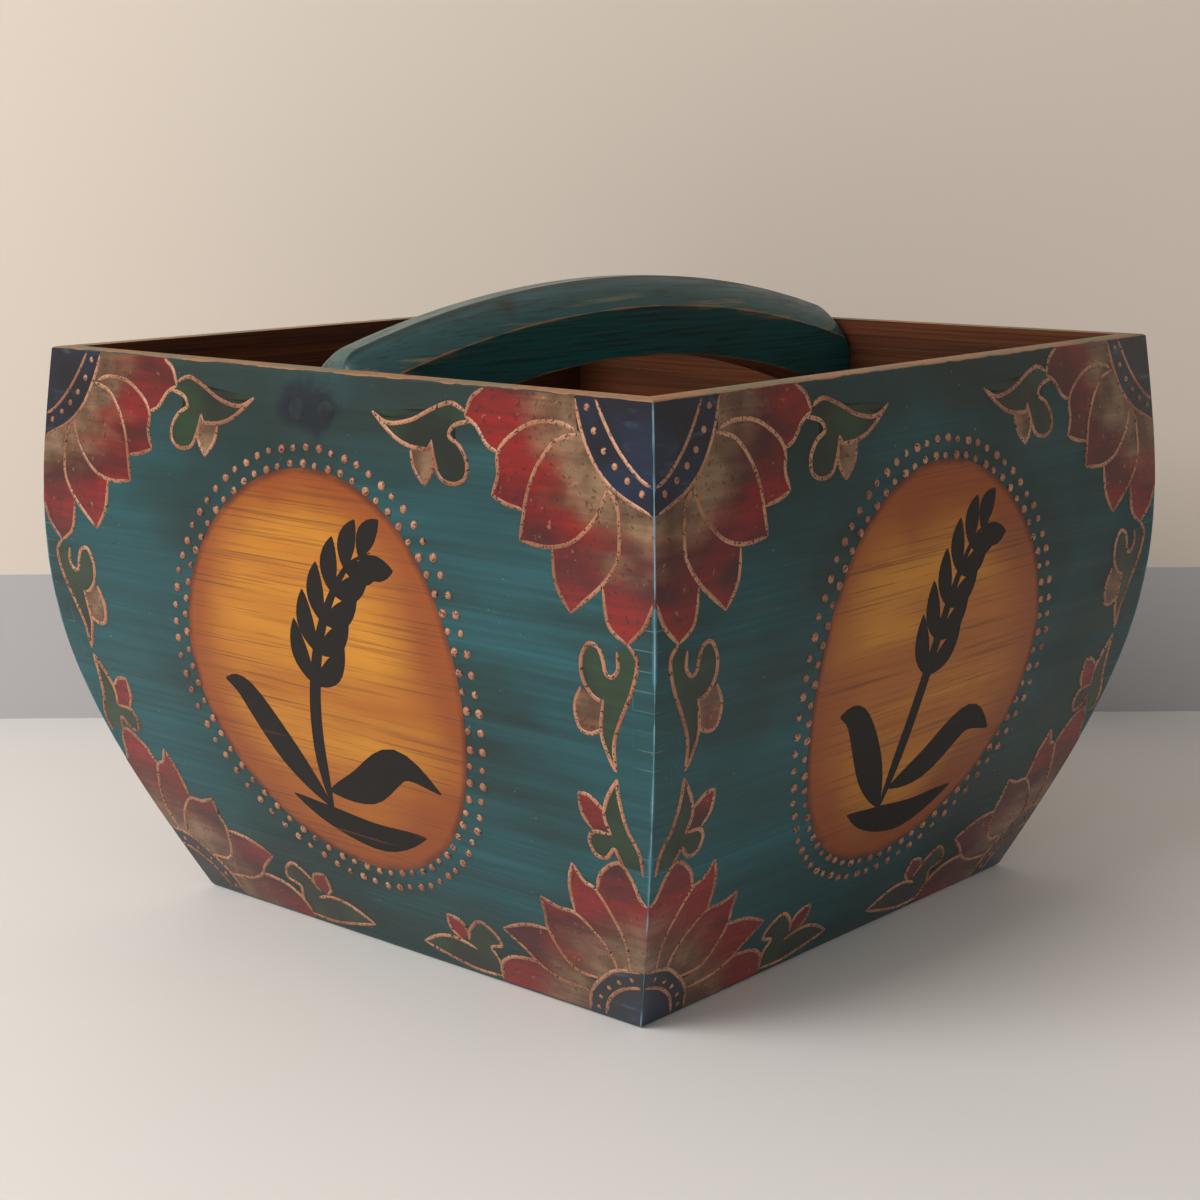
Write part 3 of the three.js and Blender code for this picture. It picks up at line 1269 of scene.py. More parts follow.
@dataclass
class PipedOutlines:
    """The raised lines and beads of paste on one wall.

    Attributes:
        face: The wall's painted face.
        line_radius: The radius of a piped line.
        line_sink: How far a line's centre lies under the face.
        line_tip: The radius of a line's end, as a share of the line's.
        line_swell: What each point from there adds to it.
        bead_flat: A bead's height as a share of its radius.
        bead_sink: How far a bead's centre lies under the face.
    """

    face: WallFace
    line_radius: float = 1.05 * MM
    line_sink: float = 0.5 * MM
    line_tip: float = 0.62
    line_swell: float = 0.13
    bead_flat: float = 0.62
    bead_sink: float = 0.1 * MM

    def lines(self, paths: list[tuple[Path, Half]]) -> bpy.types.Object:
        """Builds every piped line of the wall as one piece.

        Args:
            paths: The lines, in millimetres, and the half of the wall that each is on.

        Returns:
            The piece.
        """
        name = f"{self.face.wall.name.lower()}_outlines"
        curve = bpy.data.curves.new(name, "CURVE")
        curve.dimensions = "3D"
        curve.bevel_depth = self.line_radius
        curve.bevel_resolution = 2
        curve.use_fill_caps = True
        for path, half in paths:
            points = [self.face.spot(p, half, -self.line_sink) for p in smooth(path)]
            spline = curve.splines.new("POLY")
            spline.points.add(len(points) - 1)
            for i, (place, point) in enumerate(zip(spline.points, points)):
                place.co = (*point, 1.0)
                end = min(i, len(points) - 1 - i)
                place.radius = min(1.0, self.line_tip + self.line_swell * end)
        shape = add_object(name + "_curve", curve)
        graph = bpy.context.evaluated_depsgraph_get()
        mesh = bpy.data.meshes.new_from_object(shape.evaluated_get(graph))
        bpy.data.objects.remove(shape)
        mesh.materials.clear()
        return finish_piece(name, mesh, [CopperPaste().material()], 60.0)

    def beads(self, places: list[tuple[Point, Half, float]]) -> bpy.types.Object:
        """Builds every bead of the wall as one piece.

        Args:
            places: Each bead's place, its half of the wall and its radius, in millimetres.

        Returns:
            The piece.
        """
        bm = bmesh.new()
        for point, half, radius in places:
            z = point[1] * MM
            turn = self.face.basis(z).to_4x4()
            flat = Matrix.Diagonal((1.0, 1.0, self.bead_flat, 1.0))
            spot = Matrix.Translation(self.face.spot(point, half, -self.bead_sink))
            bmesh.ops.create_icosphere(bm, subdivisions=2, radius=radius * MM, matrix=spot @ turn @ flat)
        bmesh.ops.recalc_face_normals(bm, faces=bm.faces)
        name = f"{self.face.wall.name.lower()}_beads"
        mesh = to_mesh(bm, name)
        return finish_piece(name, mesh, [CopperPaste().material()], 80.0)


@dataclass(frozen=True)
class Lotus:
    """A quarter lotus at a corner: a banded heart with petals, and the scrolls beside it.

    Attributes:
        heart: The heart's outer line.
        band: The line inside it.
        beads: The beads in the band.
        petals: The outline stretches of each petal.
        lines: The piped lines of the petals.
    """

    heart: Path
    band: Path
    beads: Path
    petals: list[list[Path]]
    lines: list[Path]


RIM_LOTUS = Lotus(
    heart=[(34, 237.4), (31, 226), (25, 215), (15.5, 207), (0.4, 201)],
    band=[(25, 237.4), (20.5, 229), (14.5, 220.5), (6.5, 213), (0.4, 210)],
    beads=[(28.5, 234), (25.5, 226.5), (21.3, 220.3), (16.6, 215.6), (11.2, 211.4), (5, 207.8)],
    petals=[
        [
            [(34, 237.4), (76, 237.4)], [(76, 237.4), (82, 233.5), (85.5, 227)],
            [(85.5, 227), (80, 224), (75, 218.5), (70, 216)],
            [(70, 215), (65, 221), (53.5, 227), (41, 228), (33, 226)],
        ],
        [
            [(33, 226), (41, 228), (53.5, 227), (65, 221), (70, 215), (70, 208), (73, 201)],
            [(73, 201), (66, 198.6), (58.5, 197.5)],
            [(58.5, 197.5), (56, 204), (51, 213.5), (42.5, 222), (31, 225)],
        ],
        [
            [(30, 225), (42.5, 222), (51, 213.5), (56, 204), (58.5, 194), (60, 187)],
            [(60, 187), (47, 186), (35, 189.5), (24.5, 199), (19, 208)],
            [(19, 208), (25, 215), (30, 225)],
        ],
        [
            [(45, 186.5), (43.5, 174), (37, 165)],
            [(37, 165), (24, 175), (16.5, 184), (15, 192), (16, 206)],
            [(19, 208), (24.5, 199), (35, 189.5), (45, 186.5)],
        ],
        [
            [(0, 201), (0, 172)], [(0, 172), (4.5, 164.5), (12, 157.5)],
            [(12, 157.5), (20, 163), (22.5, 175.5)],
            [(22.5, 175.5), (16.5, 184), (15, 192), (15.5, 206)],
        ],
    ],
    lines=[
        [(76, 237), (82, 233.5), (85.5, 227)], [(85.5, 227), (80, 224), (75, 218), (70, 216)],
        [(34, 226), (41, 228), (53.5, 227), (65, 221), (70, 215), (70, 208), (73, 201)],
        [(73, 201), (66, 198.6), (58.5, 197.5)],
        [(32, 225), (42.5, 222), (51, 213.5), (56, 204), (58.5, 194), (60, 187)],
        [(60, 187), (47, 186), (35, 189.5), (24.5, 199), (20, 208.5)],
        [(45, 186.5), (43.5, 174), (37, 165)],
        [(37, 165), (24, 175), (16.5, 184), (15, 192), (16, 203), (20, 208)],
        [(22.5, 175.5), (20, 163), (12, 157.5)], [(12, 157.5), (4.5, 164.5), (0.6, 173)],
    ],
)

FOOT_LOTUS = Lotus(
    heart=[(24.4, 1.2), (24, 12), (18.5, 20.7), (12, 26), (0.4, 28)],
    band=[(16.8, 1.2), (15.5, 10), (11, 16), (5, 19.3), (0.4, 20.3)],
    beads=[(20.4, 4.5), (19.6, 10), (16, 15.8), (11.4, 20), (5.6, 23.2)],
    petals=[
        [
            [(24, 1.2), (70, 1.2)], [(70, 1.2), (70.5, 10), (66, 15), (58, 17), (51.5, 17)],
            [(51.5, 17), (38, 12.5), (24, 10.5)],
        ],
        [
            [(70.2, 29), (58, 34.5), (46.6, 35.4)], [(46.6, 35.4), (39, 25), (31, 19.5), (22, 17)],
            [(24, 11), (40, 12.5), (51.4, 17), (58, 22), (70.2, 29)],
        ],
        [
            [(51, 50.4), (48.5, 43), (46.6, 35.4), (39, 25), (31, 19.5), (20, 19)],
            [(12.5, 25.5), (16, 33), (24, 41), (33.6, 47.2)], [(33.6, 47.2), (42, 47.5), (51, 50.4)],
        ],
        [
            [(36, 69.6), (37, 60), (33.6, 47.2), (24, 41), (16, 33), (12.5, 25.5)],
            [(6.5, 27), (8.5, 38), (14, 48), (23.9, 60.3)], [(23.9, 60.3), (30, 63), (36, 69.6)],
        ],
        [
            [(23.9, 60.3), (22, 69), (14.5, 75), (8.5, 70), (4, 62), (0, 59)], [(0, 59), (0, 28)],
            [(6.5, 27), (8.5, 38), (14, 48), (23.9, 60.3)],
        ],
    ],
    lines=[
        [(70, 2), (70.5, 10), (66, 15), (58, 17), (51.5, 17)], [(70.2, 29), (58, 34.5), (46.6, 35.4)],
        [(70.2, 29), (58, 22), (51.4, 17), (40, 12.5), (24.5, 11)],
        [(51, 50.4), (48.5, 43), (46.6, 35.4), (39, 25), (31, 19.5), (20, 19)],
        [(51, 50.4), (42, 47.5), (33.6, 47.2), (24, 41), (16, 33), (12.5, 26)],
        [(36, 69.6), (37, 60), (33.6, 47.2)],
        [(36, 69.6), (30, 63), (23.9, 60.3), (14, 48), (8.5, 38), (6.5, 27.5)],
        [(23.9, 60.3), (22, 69), (14.5, 75), (8.5, 70), (4, 62), (0.6, 59)],
    ],
)

LEAVES: list[list[Path]] = [
    [
        [(133, 225.5), (125, 221.8), (113, 223.5), (101.5, 228.3), (92.5, 231), (85.5, 228.5)],
        [
            (82, 225.5), (90.5, 223.5), (93.5, 219.5), (88.5, 216.5), (85, 211), (86, 205.5),
            (91.5, 203), (98, 204.5), (101, 210.5), (102.5, 217.5),
        ],
        [(102.5, 214.5), (108, 214), (114, 214.5), (122, 217.5), (133, 225.5)],
    ],
    [
        [(10, 157), (7.8, 152.5), (9.5, 143), (15, 130), (17.5, 121), (16.5, 111)],
        [(16.5, 111), (20, 117), (23.3, 125), (22.5, 135.5)],
        [
            (22.5, 135.5), (27, 137.5), (31.5, 142.5), (32.5, 149.5), (29.5, 155.3), (25, 154.8),
            (22.6, 150.5), (21.5, 146.5), (18.7, 145.3), (16, 148.5), (16.5, 154.5),
        ],
    ],
    [
        [(16, 108.5), (15, 101), (11, 90), (5, 81), (3, 74)],
        [(12, 74), (14.5, 78), (16.5, 80.3), (20, 75.8), (25, 76.5), (28, 82), (25.5, 85.8), (18, 86)],
        [(18, 86), (20.8, 91), (21.5, 95), (20, 101), (16, 108.5)],
    ],
    [
        [(113.5, 8.7), (106, 13.8), (99, 15.9), (88.5, 16.8)],
        [
            (88.5, 16.8), (87.4, 23.5), (82.4, 28.3), (74.5, 24.7), (70.8, 19.6), (76, 17), (72, 11.8),
            (70, 3.5),
        ],
        [(70, 3.5), (83, 2.8), (99.5, 5.5), (113.5, 8.7)],
    ],
]

LEAF_LINES: list[Path] = [
    [(133, 225.5), (125, 221.8), (113, 223.5), (101.5, 228.3), (92.5, 231), (85.5, 228.5)],
    [
        (82, 225.5), (90.5, 223.5), (93.5, 219.5), (88.5, 216.5), (85, 211), (86, 205.5), (91.5, 203),
        (98, 204.5), (101, 210.5), (102.5, 217.5),
    ],
    [(102.5, 217), (104, 214.2), (108, 214), (114, 214.5), (122, 217.5), (133, 225.5)],
    [(12, 157.5), (7.8, 152.5), (9.5, 143), (15, 130), (17.5, 121), (16.5, 111)],
    [(16.5, 111), (20, 117), (23.3, 125), (22.5, 137)],
    [
        (23, 136), (27, 137.5), (31.5, 142.5), (32.5, 149.5), (29.5, 155.3), (25, 154.8), (22.6, 150.5),
        (21.5, 146.5), (18.7, 145.3), (16, 148.5), (16.5, 154.5),
    ],
    [(16, 108.5), (15, 101), (11, 90), (5, 81), (3, 72)],
    [(16, 108.5), (20, 101), (21.5, 95), (20.8, 91), (18, 86)],
    [(12, 74), (14.5, 78), (16.5, 80.3), (20, 75.8), (25, 76.5), (28, 82), (25.5, 85.8), (18, 86)],
    [(113.5, 8.7), (106, 13.8), (99, 15.9), (91, 15.5), (84, 13.5)],
    [
        (88.5, 17), (87.4, 23.5), (82.4, 28.3), (74.5, 24.7), (70.8, 19.6), (76, 17), (72, 11.8),
        (69.5, 5),
    ],
    [(113.5, 8.7), (99.5, 5.5), (83, 2.8), (70, 3.5)],
]

BUDS: list[list[Path]] = [
    [[(113, 214), (111.5, 207), (106.5, 201)], [(106.5, 201), (101.5, 208), (102, 215)]],
    [
        [(32.5, 140), (35.3, 132.5), (33, 125), (28, 123.6), (23.3, 126)],
        [(23.3, 126), (22.7, 136), (27, 137.5), (32.5, 140)],
    ],
    [
        [(33.5, 100), (28, 99.3), (21.5, 95), (20.5, 91), (18.5, 86.5)],
        [(26.5, 86.5), (31.5, 92), (33.5, 100)],
    ],
    [[(100.4, 27.2), (98, 20.5), (92, 16.5)], [(88, 20), (92.5, 25.5), (100.4, 27.2)]],
]

BUD_LINES: list[Path] = [
    [(113, 214), (111.5, 207), (106.5, 201)], [(106.5, 201), (101.5, 208), (102, 215)],
    [(32.5, 140), (35.3, 132.5), (33, 125), (28, 123.6), (23.3, 126)],
    [(33.5, 100), (28, 99.3), (21.5, 95)], [(33.5, 100), (31.5, 92), (26.5, 86.5)],
    [(100.4, 27.2), (98, 20.5), (92, 16.5)], [(100.4, 27.2), (92.5, 25.5), (88, 20)],
]


@dataclass(frozen=True)
class GiltOval:
    """The golden oval in the middle of a wall, with two rings of beads and a brushed ear of grain.

    Attributes:
        middle: The height of its centre, in millimetres.
        half_width: Half its width.
        half_height: Half its height.
        rings: The distance of each ring of beads from the oval's edge, and its number of beads.
        bead: The radius of a bead.
    """

    middle: float = 121.0
    half_width: float = 77.0
    half_height: float = 80.5
    rings: tuple = ((1.6, 70), (7.8, 75))
    bead: float = 1.62

    def ring(self, grow: float, count: int) -> Path:
        """Draws the oval, or a ring round it.

        Args:
            grow: How far outside the oval the ring lies.
            count: The number of its points.

        Returns:
            The points.
        """
        turns = (2 * math.pi * i / count for i in range(count))
        wide, high = self.half_width + grow, self.half_height + grow
        return [(wide * math.cos(t), self.middle + high * math.sin(t)) for t in turns]

    def bead_places(self) -> list[tuple[Point, Half, float]]:
        """Places the beads of both rings, each a little off its neighbours in size and place.

        Returns:
            Each bead's place, its half of the wall and its radius.
        """
        places = []
        for grow, count in self.rings:
            for i, (x, z) in enumerate(self.ring(grow, count)):
                wander = math.sin(i * 2.4 + grow)
                spot = (x + 0.35 * wander, z + 0.3 * math.cos(i * 1.7))
                places.append((spot, Half.MIDDLE, self.bead * (1 + 0.14 * wander)))
        return places

    def sprig(self) -> list[Path]:
        """Draws the ear of grain: a bending stem, its grains in pairs, two long blades and a ground stroke.

        Returns:
            The outline of each brush stroke.
        """
        stem = [(-12, 62), (-9, 90), (-3, 118), (6, 144), (20, 166), (34, 174)]
        strokes = [brush_stroke(stem, 6.5, 0.2)]
        spine = smooth(stem, 6)
        for k in range(6):
            x, z = spine[12 + 3 * k]
            ahead = spine[13 + 3 * k]
            lean = math.atan2(ahead[1] - z, ahead[0] - x)
            for side in (-1, 1):
                angle = lean + side * 0.74
                reach = 27 - 1.7 * k
                bend = angle - side * 0.35
                mid = (x + 0.5 * reach * math.cos(angle), z + 0.5 * reach * math.sin(angle))
                tip = (mid[0] + 0.5 * reach * math.cos(bend), mid[1] + 0.5 * reach * math.sin(bend))
                strokes.append(brush_stroke([(x, z), mid, tip], 9.6, 0.5))
        strokes.append(brush_stroke([(-12, 64), (-28, 84), (-46, 108), (-58, 112)], 15, 0.4))
        strokes.append(brush_stroke([(-10, 72), (12, 78), (36, 92), (56, 84)], 16, 0.45))
        strokes.append(brush_stroke([(-34, 66), (-16, 60), (12, 56), (40, 62)], 13, 0.6))
        return strokes


@dataclass
class WallOrnament:
    """All the painting on one wall: two half lotuses and scrolls at each side, and the oval.

    Attributes:
        face: The wall's painted face.
        oval: The oval in its middle.
        rim_gap: How far under the rim the upper hearts end, in millimetres.
        foot_gap: How far over the foot the lower hearts end.
        rim_bead: The radius of a bead in an upper heart.
        foot_bead: The radius of a bead in a lower heart.
    """

    face: WallFace
    oval: GiltOval = field(default_factory=GiltOval)
    rim_gap: float = 0.6
    foot_gap: float = 1.2
    rim_bead: float = 1.4
    foot_bead: float = 1.2

    def both(self, items: list) -> list[tuple]:
        """The same paths or points on both halves of the wall."""
        return [(item, half) for half in (Half.LOW, Half.HIGH) for item in items]

    def closed(self, shapes: list[list[Path]]) -> list[tuple[Path, Half]]:
        """The closed outlines of shapes on both halves of the wall."""
        return self.both([outline(*stretches) for stretches in shapes])

    def heart(self, lotus: Lotus, level: float) -> Path:
        """The closed outline of a lotus's heart, to the corner at the given height."""
        return [*smooth(lotus.heart), (0.0, level)]

    def build(self) -> None:
        """Builds the wall's ornament."""
        fields = PaintedFields(self.face)
        top = self.face.profile.height / MM - self.rim_gap
        rim, low = self.closed(RIM_LOTUS.petals), self.closed(FOOT_LOTUS.petals)
        fields.build("rim_petals", rim, Coat.ENAMEL, "petal_red", PetalEnamel())
        foot_red = PetalEnamel(name="foot_petal_enamel", centre=0.0, near=30 * MM, far=58 * MM)
        fields.build("foot_petals", low, Coat.ENAMEL, "petal_red", foot_red)
        bud_red = PetalEnamel(name="bud_enamel", centre=1.0, near=0.86, far=0.9)
        fields.build("buds", self.closed(BUDS), Coat.ENAMEL, "petal_red", bud_red)
        fields.build("leaves", self.closed(LEAVES), Coat.GILT, "leaf_green", DarkEnamel())
        navy = DarkEnamel(
            name="heart_enamel", dark=rgb(13, 18, 32), light=rgb(23, 37, 62), dust=rgb(92, 112, 132),
            gloss=0.26, dusting=0.35,
        )
        hearts = [self.heart(RIM_LOTUS, top), self.heart(FOOT_LOTUS, self.foot_gap)]
        fields.build("hearts", self.both(hearts), Coat.HEART, "heart_navy", navy)
        oval = self.oval
        fields.build("oval", [(oval.ring(0.0, 96), Half.MIDDLE)], Coat.GILT, "medallion_gold", GiltWood())
        strokes = [(stroke, Half.MIDDLE) for stroke in oval.sprig()]
        fields.build("brushed_ear", strokes, Coat.INK, "brush_black", BrushBlack())
        piped = PipedOutlines(self.face)
        paths = [
            *RIM_LOTUS.lines, RIM_LOTUS.heart, RIM_LOTUS.band, *FOOT_LOTUS.lines, FOOT_LOTUS.heart,
            FOOT_LOTUS.band, *LEAF_LINES, *BUD_LINES,
        ]
        piped.lines(self.both(paths))
        beads = [(p, half, self.rim_bead) for p, half in self.both(RIM_LOTUS.beads)]
        beads += [(p, half, self.foot_bead) for p, half in self.both(FOOT_LOTUS.beads)]
        piped.beads(beads + oval.bead_places())


@dataclass
class ArchedHandle:
    """The carrying handle: its section spun along its arc and cut to the walls.

    Attributes:
        width: Its width at the arris.
        foot_width: Its width at the underside.
        top_flat: The width of the flat on top.
        arris_drop: The arris's depth under the top.
        depth: Its depth at the crest.
        arc: The radius of its top.
        under_arc: The radius of its underside.
        crest: Its height over the rim.
        shoulder: The radius that rounds its ends.
        overrun: Half the length that is spun before its ends are cut.
        seat_gap: The gap between its ends and the walls.
        worn_edge: The width of its softened edges.
        profile: The wall's curve.
    """

    width: float = 31 * MM
    foot_width: float = 27 * MM
    top_flat: float = 8 * MM
    arris_drop: float = 12.4 * MM
    depth: float = 33.3 * MM
    arc: float = 545 * MM
    under_arc: float = 445 * MM
    crest: float = 26.7 * MM
    shoulder: float = 8 * MM
    overrun: float = 185 * MM
    seat_gap: float = 0.3 * MM
    worn_edge: float = 0.7 * MM
    profile: WallProfile = field(default_factory=WallProfile)

    def section(self) -> Path:
        """Draws the handle's section.

        Returns:
            Its outline, as the place across and the depth under the top.
        """
        half = self.width / 2
        flat = self.top_flat / 2
        bend = (half * 0.78, self.arris_drop * 0.35)
        bevel = []
        steps = 8
        for i in range(steps + 1):
            t = i / steps
            s = 1 - t
            across = s * s * flat + 2 * s * t * bend[0] + t * t * half
            bevel.append((across, 2 * s * t * bend[1] + t * t * self.arris_drop))
        side = [*bevel, (self.foot_width / 2, self.depth)]
        return side + [(-x, d) for x, d in reversed(side)]

    def round_shoulder(self, bm: bmesh.types.BMesh, end: Vector, normal: Vector) -> None:
        """Rounds the top of one end down to its wall.

        Args:
            bm: The handle's mesh.
            end: A point of the end's face.
            normal: The end's outward normal.
        """
        for share in (0.04, 0.13, 0.27, 0.45, 0.7, 1.0):
            inner = end - normal * (share * self.shoulder)
            bmesh.ops.bisect_plane(bm, geom=everything(bm), plane_co=inner, plane_no=normal)
        centre = self.profile.height + self.crest - self.arc
        for vert in bm.verts:
            gap = (end - vert.co).dot(normal)
            if gap < self.shoulder:
                reach = math.hypot(vert.co.y, vert.co.z - centre)
                high = min(max(1 - (self.arc - reach) / self.depth, 0.0), 1.0)
                drop = self.shoulder - math.sqrt(max(self.shoulder**2 - (self.shoulder - gap) ** 2, 0.0))
                vert.co.z -= drop * high

    def build(self) -> bpy.types.Object:
        """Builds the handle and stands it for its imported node.

        Returns:
            The handle.
        """
        top = self.profile.height + self.crest
        centre = Vector((0, 0, top - self.arc))
        half_turn = math.asin(self.overrun / self.arc)
        bm = bmesh.new()
        verts = [bm.verts.new((x, 0, top - d)) for x, d in self.section()]
        face = bm.faces.new(verts)
        start = Matrix.Rotation(-half_turn, 3, "X")
        bmesh.ops.rotate(bm, cent=centre, matrix=start, verts=verts)
        bmesh.ops.spin(
            bm, geom=[face, *face.edges, *face.verts], cent=centre, axis=(1, 0, 0), dvec=(0, 0, 0),
            angle=2 * half_turn, steps=64, use_merge=False, use_duplicate=False,
        )
        bow = (1 / self.under_arc - 1 / (self.arc - self.depth)) / 2
        for vert in bm.verts:
            reach = math.hypot(vert.co.y, vert.co.z - centre.z)
            low = (self.arc - reach - self.arris_drop) / (self.depth - self.arris_drop)
            low = min(max(low, 0.0), 1.0)
            vert.co.z -= low * bow * vert.co.y**2
        rim = self.profile.out(self.profile.height, self.profile.thickness) - self.seat_gap
        level = self.profile.height - 2 * self.arris_drop
        deep = self.profile.out(level, self.profile.thickness) - self.seat_gap
        lean = Vector((0, 2 * self.arris_drop, deep - rim)).normalized()
        for sign in (-1, 1):
            end = Vector((0, sign * rim, self.profile.height))
            normal = Vector((0, sign * lean.y, lean.z))
            cut = bmesh.ops.bisect_plane(
                bm, geom=everything(bm), plane_co=end, plane_no=normal, clear_outer=True
            )
            loop = [e for e in cut["geom_cut"] if isinstance(e, bmesh.types.BMEdge)]
            bmesh.ops.edgeloop_fill(bm, edges=loop)
            self.round_shoulder(bm, end, normal)
        bmesh.ops.remove_doubles(bm, verts=bm.verts, dist=1e-6)
        bmesh.ops.recalc_face_normals(bm, faces=bm.faces)
        mesh = to_mesh(bm, "arched_handle")
        piece = finish_piece("arched_handle", mesh, [HandlePaint().material()], 24.0)
        soft = piece.modifiers.new("worn_edges", "BEVEL")
        soft.width = self.worn_edge
        soft.segments = 3
        soft.limit_method = "ANGLE"
        soft.angle_limit = math.radians(24)
        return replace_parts(piece, "handle")


@dataclass
class ScrewPlugs:
    """The plugs over the handle's screws, one object for each packed plug.

    Attributes:
        radius: A plug's radius.
        depth: Its depth.
        proud: How far it stands over the painted face.
        edge: The width of its softened edge.
    """

    radius: float = 4.2 * MM
    depth: float = 2.5 * MM
    proud: float = 0.12 * MM
    edge: float = 0.15 * MM

    def build(self) -> None:
        """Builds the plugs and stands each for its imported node."""
        for wall, end in ((Wall.FRONT, "front"), (Wall.BACK, "back")):
            face = WallFace(wall)
            for side in ("left", "right"):
                node = f"screw_plug_{end}_{side}"
                low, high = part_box(node)
                middle = (low + high) / 2
                top = face.at(middle.dot(face.along), middle.z, self.proud - self.depth / 2)
                bm = bmesh.new()
                place = Matrix.Translation(top) @ face.basis(middle.z).to_4x4()
                bmesh.ops.create_cone(
                    bm, cap_ends=True, segments=32, radius1=self.radius, radius2=self.radius,
                    depth=self.depth, matrix=place,
                )
                rim = [e for e in bm.edges if e.calc_face_angle(0) > 1.0]
                bmesh.ops.bevel(
                    bm, geom=rim, offset=self.edge, segments=2, profile=0.5, affect="EDGES", material=-1
                )
                mesh = to_mesh(bm, node + "_face")
                piece = finish_piece(node + "_face", mesh, [DarkPlug().material()])
                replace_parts(piece, node)


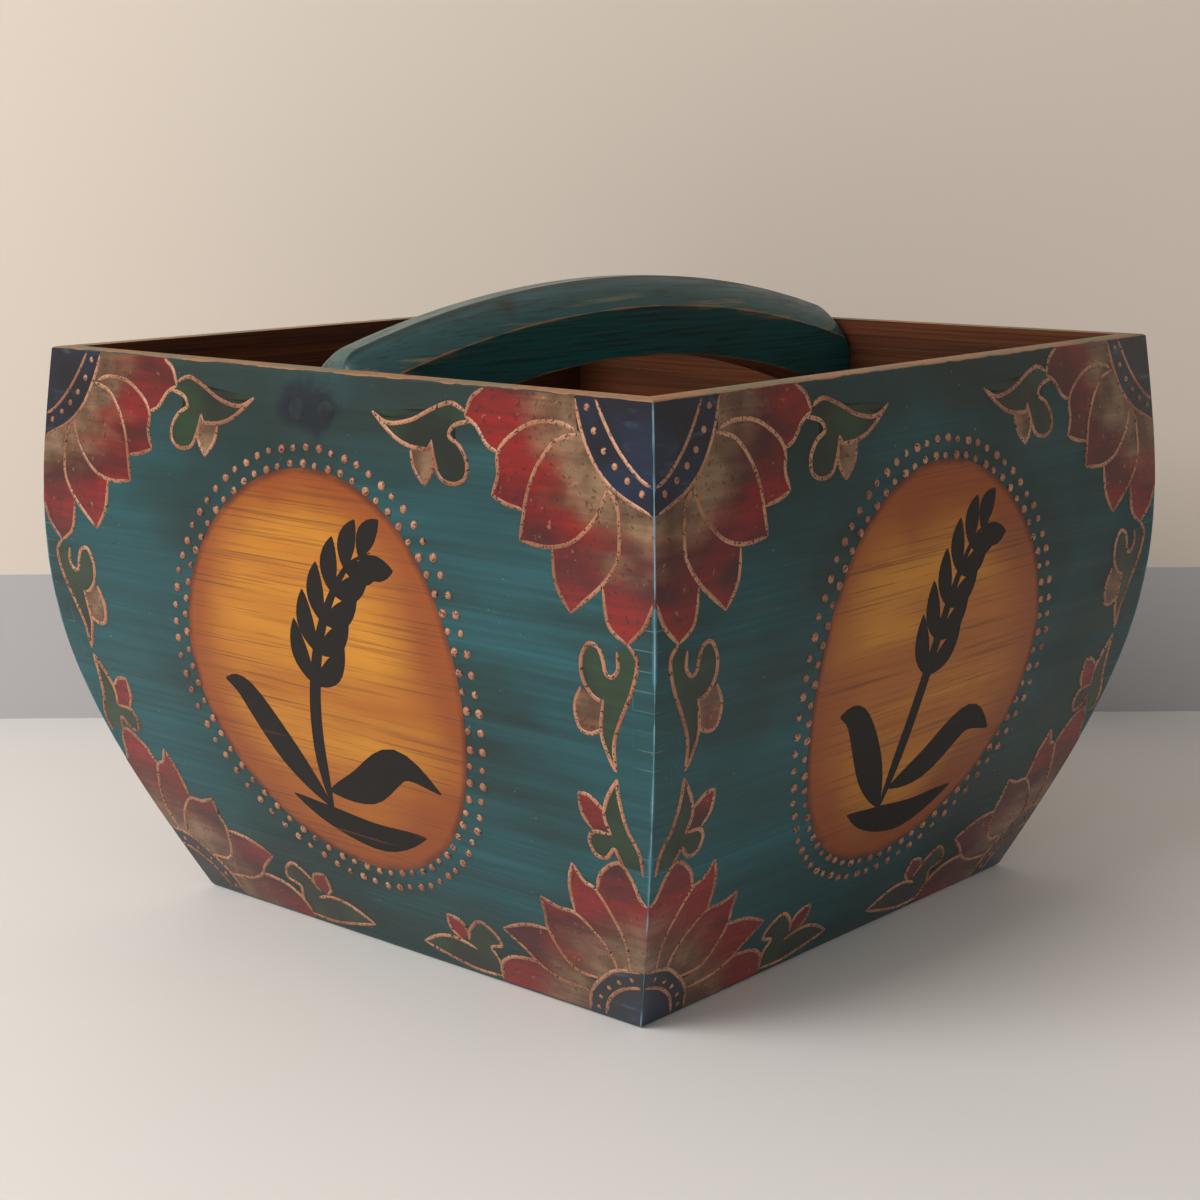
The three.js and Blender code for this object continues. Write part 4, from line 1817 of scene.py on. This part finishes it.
@dataclass
class Studio:
    """The camera at the photograph's place, a pale floor and plain soft light.

    Attributes:
        camera_place: Where the camera stands.
        azimuth: Its angle round the measure, in degrees.
        elevation: How far it looks down.
        roll: Its tilt to the side.
        focal: The focal length in pixels.
        frame_width: The picture's width in pixels.
        wall_distance: How far the backdrop stands behind the measure's middle.
        skirting: The height of the grey band at its foot.
    """

    camera_place: Vector = field(default_factory=lambda: Vector((0.6163, -0.6998, 0.3165)))
    azimuth: float = 41.589
    elevation: float = 11.591
    roll: float = -0.365
    focal: float = 2188.0
    frame_width: float = 1200.0
    wall_distance: float = 285 * MM
    skirting: float = 84 * MM

    def camera(self) -> None:
        """Sets up the camera."""
        data = bpy.data.cameras.new("camera")
        data.sensor_width = 36.0
        data.lens = self.focal / self.frame_width * data.sensor_width
        data.clip_start = 0.01
        item = add_object("camera", data)
        a, e, r = (math.radians(x) for x in (self.azimuth, self.elevation, self.roll))
        back = Vector((math.sin(a) * math.cos(e), -math.cos(a) * math.cos(e), math.sin(e)))
        right = (-back).cross(Vector((0, 0, 1))).normalized()
        up = right.cross(-back)
        side = right * math.cos(r) + up * math.sin(r)
        over = up * math.cos(r) - right * math.sin(r)
        turn = Matrix((side, over, back)).transposed().to_4x4()
        item.matrix_world = Matrix.Translation(self.camera_place) @ turn
        bpy.context.scene.camera = item

    def lamp(self, name: str, place: tuple, size: float, power: float, colour: tuple) -> None:
        """Adds one square soft lamp aimed at the measure.

        Args:
            name: The lamp's name.
            place: Where it stands.
            size: The length of its side.
            power: Its power in watts.
            colour: Its light's colour.
        """
        data = bpy.data.lights.new(name, "AREA")
        data.size = size
        data.energy = power
        data.color = colour
        item = add_object(name, data)
        item.location = place
        item.rotation_euler = (Vector((0, 0, 0.12)) - Vector(place)).to_track_quat("-Z", "Y").to_euler()

    def floor(self) -> None:
        """Adds the pale floor."""
        bm = bmesh.new()
        bmesh.ops.create_grid(bm, x_segments=1, y_segments=1, size=8.0)
        mesh = to_mesh(bm, "floor")
        item = add_object("floor", mesh)
        material = bpy.data.materials.new("pale_floor")
        material.use_nodes = True
        shader = material.node_tree.nodes["Principled BSDF"]
        shader.inputs["Base Color"].default_value = rgb(230, 228, 226)
        shader.inputs["Roughness"].default_value = 0.55
        mesh.materials.append(material)

    def upright(self, name: str, distance: float, height: float, colour: tuple) -> None:
        """Adds an upright plane behind the measure, which can't be seen from its back.

        Args:
            name: The plane's name.
            distance: How far behind the measure it stands.
            height: Its height.
            colour: Its colour.
        """
        bm = bmesh.new()
        bmesh.ops.create_grid(bm, x_segments=1, y_segments=1, size=1.0)
        for vert in bm.verts:
            vert.co = Vector((vert.co.x * 4.0, distance, (vert.co.y + 1) / 2 * height))
        turn = Matrix.Rotation(math.radians(self.azimuth), 3, "Z")
        bmesh.ops.rotate(bm, cent=(0, 0, 0), matrix=turn, verts=bm.verts)
        mesh = to_mesh(bm, name)
        item = add_object(name, mesh)
        material = bpy.data.materials.new(name)
        material.use_nodes = True
        material.node_tree.nodes.clear()
        g = Graph(material.node_tree)
        shader = g.add("BsdfPrincipled", None, Base_Color=colour, Roughness=0.7)
        side = g.add("MixShader", None, Fac=g.add("NewGeometry").outputs["Backfacing"])
        g.tree.links.new(shader.outputs[0], side.inputs[1])
        g.tree.links.new(g.add("BsdfTransparent").outputs[0], side.inputs[2])
        g.tree.links.new(side.outputs[0], g.add("OutputMaterial").inputs[0])
        mesh.materials.append(material)

    def world(self) -> None:
        """Sets the soft light all round, and the pale colour that the camera sees behind."""
        world = bpy.data.worlds.new("studio")
        bpy.context.scene.world = world
        world.use_nodes = True
        world.node_tree.nodes.clear()
        g = Graph(world.node_tree)
        seen = g.add("Background", None, Color=rgb(212, 203, 192), Strength=1.0)
        light = g.add("Background", None, Color=(1.0, 0.98, 0.95, 1.0), Strength=0.36)
        rays = g.add("LightPath").outputs
        direct = g.math("MAXIMUM", rays["Is Camera Ray"], rays["Is Glossy Ray"])
        shown = g.math("MAXIMUM", direct, rays["Is Transmission Ray"])
        which = g.add("MixShader", None, Fac=shown)
        world.node_tree.links.new(light.outputs[0], which.inputs[1])
        world.node_tree.links.new(seen.outputs[0], which.inputs[2])
        out = g.add("OutputWorld")
        world.node_tree.links.new(which.outputs[0], out.inputs[0])

    def build(self) -> None:
        """Builds the studio."""
        self.camera()
        self.floor()
        self.upright("backdrop", self.wall_distance, 3.0, rgb(222, 210, 197))
        self.upright("skirting", self.wall_distance - 2 * MM, self.skirting, rgb(182, 180, 182))
        self.world()
        self.lamp("key", (-0.35, -1.7, 1.35), 1.1, 34.0, (1.0, 0.98, 0.95))
        self.lamp("fill", (1.6, -0.9, 1.1), 1.0, 1.2, (0.95, 0.98, 1.0))
        bpy.context.scene.view_settings.view_transform = "Standard"


def dress_cad_nodes() -> None:
    """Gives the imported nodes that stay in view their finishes."""
    stained = StainedWood().material()
    steel = ScrewSteel().material()
    for name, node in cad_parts.items():
        if name == "bottom_board" or name.startswith("handle_screw"):
            node.data.materials.clear()
            node.data.materials.append(stained if name == "bottom_board" else steel)


def main() -> None:
    """Builds the studio and the measure, piece by piece."""
    logging.basicConfig(level=logging.INFO)
    Studio().build()
    for wall in Wall:
        face = WallFace(wall)
        CurvedWall(face).build()
        WallOrnament(face).build()
    ArchedHandle().build()
    ScrewPlugs().build()
    dress_cad_nodes()


if __name__ == "__main__":
    main()
